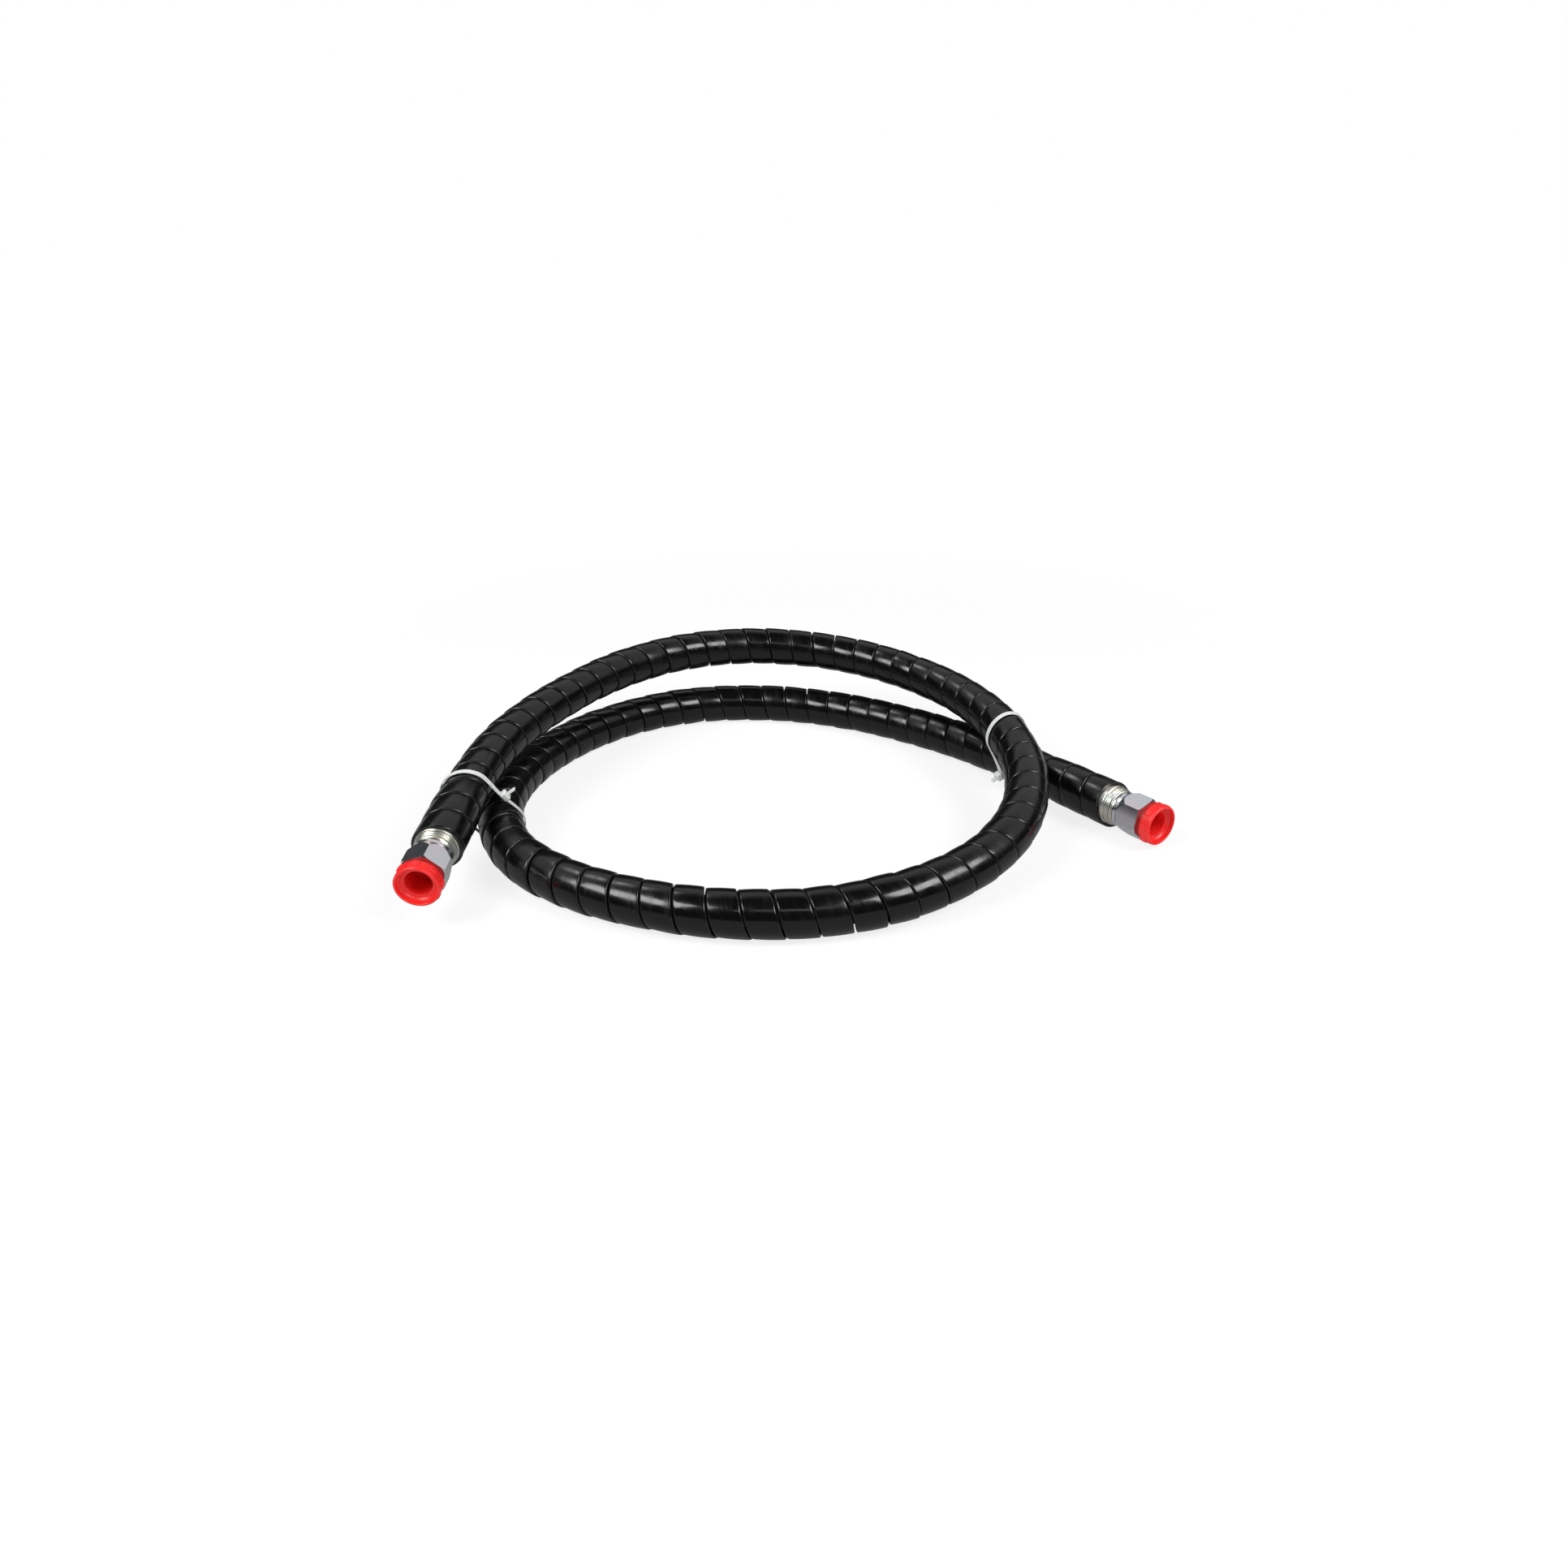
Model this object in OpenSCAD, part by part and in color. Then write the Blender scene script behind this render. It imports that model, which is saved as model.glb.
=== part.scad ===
// Hydraulic hose assembly in a spiral guard, coiled and tied with two cable ties.
// Both ends carry a crimped ferrule, a swivel nut for a 24 degree cone and a shipping plug.
// Millimetres. +Z is up, +Y points away from the open ends, and the coil lies on z = 0.

/* [Hose] */
// Bore of the inner tube
bore_d = 12.7; // [10:0.1:13]
// Wall of the inner tube
tube_wall = 2; // [1.6:0.1:2.1]
// Thickness of each wire braid
braid_wall = 0.6; // [0.4:0.1:0.7]
// Rubber between the two braids
separator_wall = 0.3; // [0.2:0.1:0.5]
// Outer rubber cover
cover_wall = 1; // [0.6:0.1:1.2]
// Gap between neighbouring layers
layer_gap = 0.1; // [0.05:0.05:0.15]

/* [Spiral guard] */
// Wall of the guard's strip
guard_wall = 2; // [1.4:0.1:2.3]
// Slack between the hose and the guard
guard_slack = 2.45; // [1:0.05:2.6]
// Turns of the strip from end to end
guard_turns = 96; // [70:1:100]
// Seam between neighbouring turns
guard_seam = 1.5; // [0.8:0.1:4]
// Bevel at the strip's outer edges
guard_bevel = 0.5; // [0.1:0.1:0.8]
// Clearance between the guard and the ferrules
guard_clearance = 0.3; // [0.2:0.1:0.6]

/* [Ferrule] */
// Wall of a ferrule
ferrule_wall = 3.7; // [2.4:0.1:3.9]
// Length of a ferrule
ferrule_length = 45; // [34:1:48]
// Stretch of a ferrule that shows out of the guard
ferrule_shown = 7; // [4:0.5:9]
// Ridges on that stretch
ferrule_ridges = 3; // [2:1:4]
// Depth of the grooves between the ridges
ridge_depth = 0.6; // [0.2:0.1:0.8]
// Depth of the eight crimp marks
crimp_depth = 0.4; // [0.2:0.1:0.8]
// Wall of the ferrule's front lip
ferrule_lip = 3; // [2:0.5:4]

/* [Insert] */
// Wall of the stem inside the hose
stem_wall = 1.75; // [1.2:0.05:2.4]
// Barbs on the stem
barbs = 5; // [3:1:7]
// Height of a barb
barb_height = 0.5; // [0.2:0.1:0.6]
// Diameter of the neck that the ferrule grips
neck_d = 17; // [15:0.5:18]
// Diameter of the shoulder between ferrule and nut
shoulder_d = 29.6; // [24:0.2:30.4]
// Length of the shoulder
shoulder_length = 3; // [2:0.5:5]
// Diameter of the shank that the nut turns on
shank_d = 20; // [19:0.1:20.4]
// Diameter of the cone at its base
cone_base_d = 18; // [17:0.5:18.5]
// Length of the cone
cone_length = 6.5; // [6:0.5:7]

/* [Swivel nut] */
// Width of the nut across its flats
nut_across_flats = 30; // [29:1:36]
// Length of the whole nut
nut_length = 24; // [21:0.5:28]
// Diameter of the tapered collar at the nut's back
collar_d = 28.8; // [26:0.2:28.8]
// Angle at which the collar widens into the hexagon
collar_taper = 17; // [12:1:35]
// Bore of the M24 x 1.5 thread at its crests
thread_bore_d = 22.38; // [22.2:0.02:22.6]
// Roll of the left nut about its axis
left_nut_roll = 18; // [0:1:60]
// Roll of the right nut about its axis
right_nut_roll = 17; // [0:1:60]

/* [Shipping plug] */
// Diameter of the plug's rim
rim_d = 32.4; // [31:0.2:36]
// Width of the rim
rim_width = 9; // [6.5:0.5:11]
// Gap between the nut and the rim, bridged by the plug's neck
rim_gap = 4.3; // [2:0.1:6]
// Gap between the insert's cone and the plug's tip
plug_tip_gap = 1.5; // [1:0.5:4]
// Wall round the plug's hollow
plug_wall = 1.3; // [1:0.1:2]
// Wall at the hollow's bottom
plug_floor = 1.4; // [1:0.1:2]
// Depth of the dish in the rim's face
dish_depth = 4.8; // [2:0.2:6]
// Grip lugs round the rim
lugs = 8; // [4:1:10]
// Height of a lug
lug_height = 0.8; // [0.4:0.1:1.2]

/* [Cable ties] */
// Width of a strap
strap_width = 3.6; // [2.5:0.1:4.8]
// Thickness of a strap
strap_t = 1; // [0.8:0.1:1.1]
// Side of the square head
head_side = 7; // [5:0.5:8]
// Height of the head
head_height = 5; // [4:0.5:6]
// Tail left on the tie at the left
left_tail = 7; // [2:1:25]
// Tail left on the tie at the right
right_tail = 5; // [2:1:25]

/* [Hidden] */
$fn = 96;

// Control points of the hose's centre line, from the left end to the right one
ROUTE = [[-260.5, -114, 46], [-256, -9, 59], [-206, 90, 69], [-150, 170, 72], [-65, 215, 73],
    [40, 205, 68], [120, 145, 62], [170, 60, 56], [185, -45, 42], [145, -140, 28], [65, -195, 19],
    [-25, -215, 17], [-130, -195, 17], [-220, -135, 18], [-250, -45, 21], [-235, 60, 19],
    [-180, 150, 17], [-100, 200, 17], [5, 195, 17], [95, 145, 17], [166, 72, 20], [223, -10, 20.5]];
// Brings the middle of the footprint to the origin
centring = [-3, 0, 0];
PATH = [for (p = ROUTE) p + centring];
last = len(PATH) - 1;
samples_per_span = 12;

// Small clearance of pieces that are pressed or crimped together
end_clearance = 0.1;
// Small chamfer on turned edges
edge = 0.5;

// Hose layers: sides, stations along the curved route, and the factor from flats to corners
layer_sides = 8;
layer_stations = 39;
layer_corner = 1 / cos(180 / layer_sides);
// The hose ends this far beyond the guard, inside the ferrules
hose_beyond = 2;
// Half widths of the hose layers, measured to their outer flats
tube_r = bore_d / 2 + tube_wall;
inner_braid_r = tube_r + layer_gap + braid_wall;
separator_r = inner_braid_r + layer_gap + separator_wall;
outer_braid_r = separator_r + layer_gap + braid_wall;
cover_r = outer_braid_r + layer_gap + cover_wall;

// Ferrule: places are counted outward from the guard's mouth
ferrule_bore_r = cover_r * layer_corner + end_clearance;
ferrule_r = ferrule_bore_r + ferrule_wall;
ferrule_back = ferrule_shown - ferrule_length;
// Each ridge is this much lower than the one behind it
ridge_drop = 0.3;
// Distance of the crimp marks from the ferrule's back and from the guard's mouth
crimp_margin = 4;
crimp_sides = 8;

// The hose runs straight through each ferrule and this far behind it
run_spare = 4;
end_run = ferrule_length - ferrule_shown + run_spare;

// Segments in one turn of the guard's strip
turn_segments = 10;
guard_corner = 1 / cos(180 / turn_segments);
// Outer radius at the strip's corners, along the hose and at the mouth over the ferrule
guard_body_r = (cover_r * layer_corner + guard_slack + guard_wall) * guard_corner;
guard_mouth_r = (ferrule_r + guard_clearance) * guard_corner + guard_wall;
// The guard opens over the ferrules within this distance
opening_run = 32;
// Length of the strip that its cut ends have at the mouths
strip_tip = 1;

// Insert
stem_r = bore_d / 2 - end_clearance;
insert_bore_r = stem_r - stem_wall;
// The stem starts this far inside the ferrule's back
stem_inset = 2;
stem_back = ferrule_back + stem_inset;
neck_start = hose_beyond + end_clearance;
// Bare stretch of the stem next to the neck, and shares of a barb's pitch that rise and stay flat
bare_stem = 4;
barb_rise = 0.7;
barb_flat = 0.1;
shoulder_start = ferrule_shown + end_clearance;
shoulder_end = shoulder_start + shoulder_length;

// Swivel nut: it turns on the shank with a running fit
nut_fit = 0.05;
nut_end_gap = 0.4;
nut_back = shoulder_end + nut_end_gap;
nut_front = nut_back + nut_length;
// Length of the bearing bore behind the thread
nut_bearing = 5;
nut_corner_d = nut_across_flats / cos(30);
// The hexagon's front is chamfered to a round face of this share of its width
hex_face_share = 0.96;
hex_chamfer_angle = 30;
thread_chamfer = 1.2;

// 24 degree cone that seals against the mating part
cone_half_angle = 12;
cone_start = nut_back + nut_bearing;
cone_end = cone_start + cone_length;
cone_tip_r = cone_base_d / 2 - cone_length * tan(cone_half_angle);

// Ring of wire that holds the nut on the insert, half in each
wire_r = 0.9;
wire_gap = 0.1;
wire_place = nut_back + nut_bearing / 2;
wire_opening = 20;
// O-ring, sunk in the middle of the cone
ring_r = 1;
ring_sink = 0.7;
ring_place = cone_start + cone_length / 2;
ring_centre_r = (cone_base_d / 2 + cone_tip_r) / 2 - ring_sink;

// Plug
plug_clearance = 0.15;
plug_r = thread_bore_d / 2 - plug_clearance;
plug_back = cone_end + plug_tip_gap;
plug_chamfer = 0.8;
neck_back = nut_front + end_clearance;
// The neck stands out from the part inside the nut
neck_step = 3;
rim_back = nut_front + rim_gap;
rim_front = rim_back + rim_width;
rim_round = 1.2;
// Lip between the rounded edge and the dish, and ring between the dish and the hollow
dish_lip = 0.6;
dish_ring = 1.8;
// The dish's wall has a ledge at this share of its depth, and draws in by this much above it
ledge_share = 0.6;
dish_draft = 0.5;
hollow_chamfer = 0.3;
// The hollow narrows by this much from its mouth to its bottom
hollow_taper = 0.6;
// Lugs: width, share of the rim's width that they take, and first one's angle from the nut's roll
lug_width = 5;
lug_share = 0.6;
lug_roll = 24;

// Cable ties: distances along the hose of the upper and the lower strand that each one holds
LEFT_TIE = [76, 1400];
RIGHT_TIE = [770, 2070];
strap_clearance = 0.3;
head_round = 1.6;
// Place of each head on its straight run, from the lower strand (-1) to the upper one (1)
left_head_place = 0;
right_head_place = -0.9;

guard_black = [0.05, 0.05, 0.055];
rubber_black = [0.09, 0.09, 0.09];
wire_grey = [0.62, 0.62, 0.6];
zinc = [0.72, 0.74, 0.75];
plug_red = [0.9, 0.08, 0.07];
nylon_white = [0.88, 0.9, 0.88];

// ---- Centre line: a uniform cubic B-spline with a straight run at each end ----

function unit(v) = v / norm(v);
function clamp(x, low, high) = min(max(x, low), high);
function control(i) = i < 0 ? 2 * PATH[0] - PATH[1]
    : i > last ? 2 * PATH[last] - PATH[last - 1]
    : PATH[i];
function blend(f, w) = [for (k = [0:3]) w[k][0] + f * (w[k][1] + f * (w[k][2] + f * w[k][3]))];
POINT_WEIGHTS = [[1, -3, 3, -1], [4, 0, -6, 3], [1, 3, 3, -3], [0, 0, 0, 1]] / 6;
SLOPE_WEIGHTS = [[-3, 6, -3, 0], [0, -12, 9, 0], [3, 6, -9, 0], [0, 0, 3, 0]] / 6;
function along(u, weights) = let (i = min(floor(u), last - 1), b = blend(u - i, weights))
    b[0] * control(i - 1) + b[1] * control(i) + b[2] * control(i + 1) + b[3] * control(i + 2);

sample_count = last * samples_per_span;
SAMPLES = [for (k = [0:sample_count]) along(k / samples_per_span, POINT_WEIGHTS)];
STEPS = [for (k = [0:sample_count - 1]) norm(SAMPLES[k + 1] - SAMPLES[k])];
// Pairs of distance along the curve and spline parameter
DISTANCES = [for (k = 0, s = 0; k <= sample_count; s = s + (k < sample_count ? STEPS[k] : 0), k = k + 1)
    [s, k / samples_per_span]];
curve_length = DISTANCES[sample_count][0];
guard_length = curve_length + 2 * end_run;
guard_pitch = guard_length / guard_turns;

start_direction = unit(PATH[1] - PATH[0]);
end_direction = unit(PATH[last] - PATH[last - 1]);

// Point and direction of the centre line at distance s from the guard's left mouth
function centre(s) = s < end_run ? PATH[0] + (s - end_run) * start_direction
    : s > end_run + curve_length ? PATH[last] + (s - end_run - curve_length) * end_direction
    : along(lookup(s - end_run, DISTANCES), POINT_WEIGHTS);
function direction(s) = s < end_run ? start_direction
    : s > end_run + curve_length ? end_direction
    : unit(along(lookup(s - end_run, DISTANCES), SLOPE_WEIGHTS));
// Centre, sideways and upward directions at distance s
function station(s) = let (t = direction(s), side = unit(cross([0, 0, 1], t)))
    [centre(s), side, cross(t, side)];
function off_centre(st, r, a) = st[0] + r * (cos(a) * st[1] + sin(a) * st[2]);

// ---- Swept solids ----

// Triangles between ring a and the next one, m points further on
function band(a, b, m) = [[a, b + m, b], [a, a + m, b + m]];
function sweep_faces(rings, m) = concat(
    [for (i = [0:rings - 2]) for (j = [0:m - 1]) each band(i * m + j, i * m + (j + 1) % m, m)],
    [for (j = [1:m - 2]) [0, j, j + 1]],
    [for (j = [1:m - 2], e = (rings - 1) * m) [e, e + j + 1, e + j]]);
// The same for a hollow ring: n outer points, then n inner ones
function hollow_faces(rings, n) = let (m = 2 * n, e = (rings - 1) * m) concat(
    [for (i = [0:rings - 2]) for (j = [0:n - 1]) each band(i * m + j, i * m + (j + 1) % n, m)],
    [for (i = [0:rings - 2]) for (j = [0:n - 1]) each band(i * m + n + (j + 1) % n, i * m + n + j, m)],
    [for (j = [0:n - 1]) let (k = (j + 1) % n) each [[j, k, n + k], [j, n + k, n + j]]],
    [for (j = [0:n - 1]) let (k = (j + 1) % n)
        each [[e + j, e + n + k, e + k], [e + j, e + n + j, e + n + k]]]);

LAYER_PLACES = concat([-hose_beyond],
    [for (k = [0:layer_stations - 1]) end_run + curve_length * k / (layer_stations - 1)],
    [guard_length + hose_beyond]);
LAYER_FRAMES = [for (s = LAYER_PLACES) station(s)];

module hose_layer(inner_r, outer_r) {
    turn = 360 / layer_sides;
    points = [for (st = LAYER_FRAMES) each concat(
        [for (j = [0:layer_sides - 1]) off_centre(st, outer_r * layer_corner, (j + 0.5) * turn)],
        [for (j = [0:layer_sides - 1]) off_centre(st, inner_r * layer_corner, (j + 0.5) * turn)])];
    polyhedron(points, hollow_faces(len(LAYER_PLACES), layer_sides));
}

// ---- Hose layers ----

module hose_inner_tube() {
    color(rubber_black) hose_layer(bore_d / 2, tube_r);
}

module wire_braid_inner() {
    color(wire_grey) hose_layer(tube_r + layer_gap, inner_braid_r);
}

module braid_separator() {
    color(rubber_black) hose_layer(inner_braid_r + layer_gap, separator_r);
}

module wire_braid_outer() {
    color(wire_grey) hose_layer(separator_r + layer_gap, outer_braid_r);
}

module hose_cover() {
    color(rubber_black) hose_layer(outer_braid_r + layer_gap, cover_r);
}

// ---- Spiral guard: one strip wound round the hose, opened over the ferrules ----

strip_width = guard_pitch - guard_seam;
segment_pitch = guard_pitch / turn_segments;
strip_start = strip_tip - strip_width / 2;
strip_segments = floor((guard_length + strip_width - 2 * strip_tip) / segment_pitch);

function opening(s) = let (e = clamp((end_run + opening_run - min(s, guard_length - s)) / opening_run, 0, 1))
    e * e * (3 - 2 * e);
function guard_r(s) = guard_body_r + (guard_mouth_r - guard_body_r) * opening(s);
function above_floor(p) = [p.x, p.y, max(p.z, 0)];
// Point of the strip at distance s, angle a and depth d below the guard's outer surface
function strip_point(s, a, d) = let (t = clamp(s, 0, guard_length))
    above_floor(off_centre(station(t), guard_r(t) - d, a));
function strip_section(k) = let (s = strip_start + k * segment_pitch, a = 360 * s / guard_pitch,
        back = s - strip_width / 2, front = s + strip_width / 2)
    [strip_point(back, a, guard_wall), strip_point(front, a, guard_wall),
     strip_point(front - guard_bevel, a, 0), strip_point(back + guard_bevel, a, 0)];
STRIP = [for (k = [0:strip_segments]) strip_section(k)];

// Least gap of the strip to itself: between neighbouring turns, and between crossing strands
SEAM_GAPS = [for (k = [turn_segments:strip_segments]) norm(STRIP[k][0] - STRIP[k - turn_segments][1])];
strand_step = guard_pitch / 2;
STRAND = [for (s = [0:strand_step:guard_length]) centre(s)];
STRAND_GAPS = [for (i = [0:len(STRAND) - 1]) for (j = [i + 20:len(STRAND) - 1])
    norm(STRAND[i] - STRAND[j]) - guard_r(i * strand_step) - guard_r(j * strand_step)];
echo(least_seam_gap = min(SEAM_GAPS), least_strand_gap = min(STRAND_GAPS), guard_length = guard_length);

module spiral_guard() {
    color(guard_black)
        polyhedron([for (section = STRIP) each section], sweep_faces(len(STRIP), 4));
}

// ---- Fittings, drawn along +Z from the guard's mouth ----

// Moves children to a place with the given origin, Z direction and level X direction
module placed(origin, z_axis) {
    x_axis = unit(cross([0, 0, 1], z_axis));
    y_axis = cross(z_axis, x_axis);
    multmatrix([[x_axis.x, y_axis.x, z_axis.x, origin.x],
        [x_axis.y, y_axis.y, z_axis.y, origin.y],
        [x_axis.z, y_axis.z, z_axis.z, origin.z],
        [0, 0, 0, 1]]) children();
}

module at_left() {
    placed(centre(0), -start_direction) children();
}

module at_right() {
    placed(centre(guard_length), end_direction) children();
}

// Crimped sleeve: crimp marks inside the guard, ridges outside it and a lip that grips the neck
module ferrule() {
    ridge_pitch = ferrule_shown / ferrule_ridges;
    crimp_start = ferrule_back + crimp_margin;
    crimp_end = -crimp_margin;
    lip_r = neck_d / 2 + end_clearance;
    lip_back = ferrule_shown - ferrule_lip;
    // Each ridge: front of its land, foot of the slope, front of the groove
    ridges = [for (k = [0:ferrule_ridges - 1]) let (land = ferrule_r - k * ridge_drop, z = k * ridge_pitch)
        each [[land, z], [land, z + ridge_pitch / 2],
            [land - ridge_depth, z + ridge_pitch * 0.7], [land - ridge_depth, z + ridge_pitch]]];
    body_r = ferrule_r + 1;
    color(zinc) intersection() {
        rotate_extrude() polygon(concat(
            [[ferrule_bore_r, ferrule_back], [ferrule_r - edge, ferrule_back],
            [ferrule_r, ferrule_back + edge]],
            ridges,
            [[lip_r, ferrule_shown], [lip_r, lip_back], [ferrule_bore_r, lip_back]]));
        union() {
            translate([0, 0, ferrule_back - 1]) cylinder(r = body_r, h = crimp_margin + 1);
            translate([0, 0, crimp_start]) cylinder(r = (ferrule_r - crimp_depth) / cos(180 / crimp_sides),
                h = crimp_end - crimp_start, $fn = crimp_sides);
            translate([0, 0, crimp_end]) cylinder(r = body_r, h = ferrule_shown - crimp_end + 1);
        }
    }
}

// Ring of round wire about the axis at height z, centred on radius r
module ring(z, r, thickness_r, angle = 360) {
    translate([0, 0, z]) rotate_extrude(angle = angle) translate([r, 0]) circle(thickness_r);
}

// Barbed stem, shoulder, shank with its wire groove and cone with its O-ring groove
module hose_insert() {
    barb_pitch = (neck_start - stem_back - bare_stem) / barbs;
    foot_r = stem_r - barb_height;
    barb_line = [for (k = [0:barbs - 1]) let (z = stem_back + k * barb_pitch) each [[foot_r, z],
        [stem_r, z + barb_rise * barb_pitch], [stem_r, z + (barb_rise + barb_flat) * barb_pitch],
        [foot_r, z + (barb_rise + barb_flat) * barb_pitch]]];
    shoulder_r = shoulder_d / 2;
    color(zinc) difference() {
        rotate_extrude() polygon(concat([[insert_bore_r, stem_back]], barb_line,
            [[foot_r, neck_start], [neck_d / 2, neck_start], [neck_d / 2, shoulder_start],
            [shoulder_r - edge, shoulder_start], [shoulder_r, shoulder_start + edge],
            [shoulder_r, shoulder_end - edge], [shoulder_r - edge, shoulder_end],
            [shank_d / 2, shoulder_end], [shank_d / 2, cone_start], [cone_base_d / 2, cone_start],
            [cone_tip_r, cone_end], [insert_bore_r, cone_end]]));
        ring(wire_place, shank_d / 2, wire_r + wire_gap);
        ring(ring_place, ring_centre_r, ring_r + wire_gap);
    }
}

module o_ring() {
    color(rubber_black) ring(ring_place, ring_centre_r, ring_r);
}

module retaining_wire() {
    color(wire_grey) ring(wire_place, shank_d / 2, wire_r, 360 - wire_opening);
}

// Hexagon turned down to a tapered collar at the back and chamfered to a round face in front
module turned_hexagon() {
    collar_r = collar_d / 2;
    face_r = hex_face_share * nut_across_flats / 2;
    outer_r = nut_corner_d / 2 + 1;
    chamfer = (outer_r - face_r) * tan(hex_chamfer_angle);
    intersection() {
        cylinder(d = nut_corner_d, h = nut_length, $fn = 6);
        rotate_extrude() polygon([[0, 0], [collar_r - edge, 0], [collar_r, edge],
            [outer_r, edge + (outer_r - collar_r) / tan(collar_taper)],
            [outer_r, nut_length - chamfer], [face_r, nut_length], [0, nut_length]]);
    }
}

// Collar and hexagon with bearing bore, wire groove, thread bore and its chamfered mouth
module swivel_nut() {
    mouth_r = thread_bore_d / 2 + thread_chamfer;
    color(zinc) difference() {
        translate([0, 0, nut_back]) turned_hexagon();
        translate([0, 0, nut_back - 1]) cylinder(r = shank_d / 2 + nut_fit, h = nut_length + 2);
        translate([0, 0, cone_start]) cylinder(d = thread_bore_d, h = nut_length);
        translate([0, 0, nut_front - thread_chamfer]) cylinder(r1 = thread_bore_d / 2, r2 = mouth_r + 1,
            h = thread_chamfer + 1);
        ring(wire_place, shank_d / 2, wire_r + wire_gap);
    }
}

// Cup that closes the nut: tapered hollow, dished face and a rim with lugs and a rounded front lip
module plug() {
    rim_r = rim_d / 2;
    lip_r = rim_r - rim_round;
    neck_r = plug_r + neck_step;
    hollow_r = plug_r - plug_wall;
    ring_r = hollow_r + hollow_chamfer + dish_ring;
    ledge_r = lip_r - dish_lip - dish_draft;
    ledge = rim_front - dish_depth * ledge_share;
    dish_floor = rim_front - dish_depth;
    hollow_floor = plug_back + plug_floor;
    color(plug_red) union() {
        rotate_extrude() union() {
            polygon([[0, plug_back], [plug_r - plug_chamfer, plug_back], [plug_r, plug_back + plug_chamfer],
                [plug_r, neck_back], [neck_r, neck_back], [neck_r, rim_back],
                [rim_r - edge, rim_back], [rim_r, rim_back + edge], [rim_r, rim_front - rim_round],
                [lip_r, rim_front - rim_round], [lip_r, rim_front], [lip_r - dish_lip, rim_front],
                [ledge_r, ledge], [(ledge_r + ring_r) / 2, ledge - dish_draft], [ring_r, dish_floor],
                [hollow_r + hollow_chamfer, dish_floor], [hollow_r, dish_floor - hollow_chamfer],
                [hollow_r - hollow_taper, hollow_floor], [0, hollow_floor]]);
            translate([lip_r, rim_front - rim_round]) circle(rim_round);
        }
        for (k = [0:lugs - 1]) rotate([0, 0, lug_roll + k * 360 / lugs])
            translate([rim_r - 1, -lug_width / 2, rim_back + edge])
                cube([1 + lug_height, lug_width, rim_width * lug_share]);
    }
}

module left_ferrule() { at_left() ferrule(); }
module right_ferrule() { at_right() ferrule(); }
module left_hose_insert() { at_left() hose_insert(); }
module right_hose_insert() { at_right() hose_insert(); }
module left_o_ring() { at_left() o_ring(); }
module right_o_ring() { at_right() o_ring(); }
module left_retaining_wire() { at_left() retaining_wire(); }
module right_retaining_wire() { at_right() retaining_wire(); }
module left_swivel_nut() { at_left() rotate([0, 0, left_nut_roll]) swivel_nut(); }
module right_swivel_nut() { at_right() rotate([0, 0, right_nut_roll]) swivel_nut(); }
module left_plug() { at_left() rotate([0, 0, left_nut_roll]) plug(); }
module right_plug() { at_right() rotate([0, 0, right_nut_roll]) plug(); }

// ---- Cable ties: a strap round two strands, with a head and a cut tail ----

// Two circles of radius r, spread apart along X, and the straight runs between them
module stadium(r, spread) {
    translate([-spread / 2, 0]) circle(r);
    translate([spread / 2, 0]) circle(r);
    translate([-spread / 2, -r]) square([spread, 2 * r]);
}

// Tie round the strands at two places of the hose, the upper one first. Its head sits on the run at
// the tie's +Y side, at head_place between the lower (-1) and the upper strand (1), and the tail
// stands straight out of it.
module cable_tie(places, head_place, tail) {
    upper = centre(places[0]);
    lower = centre(places[1]);
    spread = norm(upper - lower);
    x_axis = (upper - lower) / spread;
    along_both = unit(direction(places[0]) + direction(places[1]));
    z_axis = unit(along_both - (along_both * x_axis) * x_axis);
    y_axis = cross(z_axis, x_axis);
    middle = (upper + lower) / 2;
    // The strap is wide enough for the strand that leans more against it
    tilt = max([for (s = places) acos(direction(s) * z_axis)]);
    strand_r = max([for (s = places) guard_r(s)]);
    inner_r = strand_r / cos(tilt) + strap_width / 2 * tan(tilt) + strap_clearance;
    // The head is wider than the strap, so it starts a little further out to clear the strand
    head_back = inner_r + (head_side - strap_width) / 2 * tan(tilt);
    color(nylon_white) multmatrix([[x_axis.x, y_axis.x, z_axis.x, middle.x],
        [x_axis.y, y_axis.y, z_axis.y, middle.y],
        [x_axis.z, y_axis.z, z_axis.z, middle.z],
        [0, 0, 0, 1]]) {
        translate([0, 0, -strap_width / 2]) linear_extrude(strap_width) difference() {
            stadium(inner_r + strap_t, spread);
            stadium(inner_r, spread);
        }
        translate([head_place * spread / 2, head_back, 0]) rotate([-90, 0, 0]) {
            linear_extrude(head_height) head_outline();
            translate([-strap_t / 2, -strap_width / 2, head_height / 2])
                cube([strap_t, strap_width, head_height / 2 + tail]);
        }
    }
}

// Square with rounded corners
module head_outline() {
    half = head_side / 2 - head_round;
    for (x = [-half, half], y = [-half, half]) translate([x, y]) circle(head_round);
    square([head_side, 2 * half], center = true);
    square([2 * half, head_side], center = true);
}

module left_cable_tie() {
    cable_tie(LEFT_TIE, left_head_place, left_tail);
}

module right_cable_tie() {
    cable_tie(RIGHT_TIE, right_head_place, right_tail);
}

hose_inner_tube();
wire_braid_inner();
braid_separator();
wire_braid_outer();
hose_cover();
spiral_guard();
left_ferrule();
right_ferrule();
left_hose_insert();
right_hose_insert();
left_o_ring();
right_o_ring();
left_retaining_wire();
right_retaining_wire();
left_swivel_nut();
right_swivel_nut();
left_plug();
right_plug();
left_cable_tie();
right_cable_tie();
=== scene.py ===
"""Looks of the coiled hydraulic hose in its spiral guard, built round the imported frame.

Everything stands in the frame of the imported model. The classes hold their sizes in millimetres, the
way a hose maker writes them, and the meshes are made in metres.
"""

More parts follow.
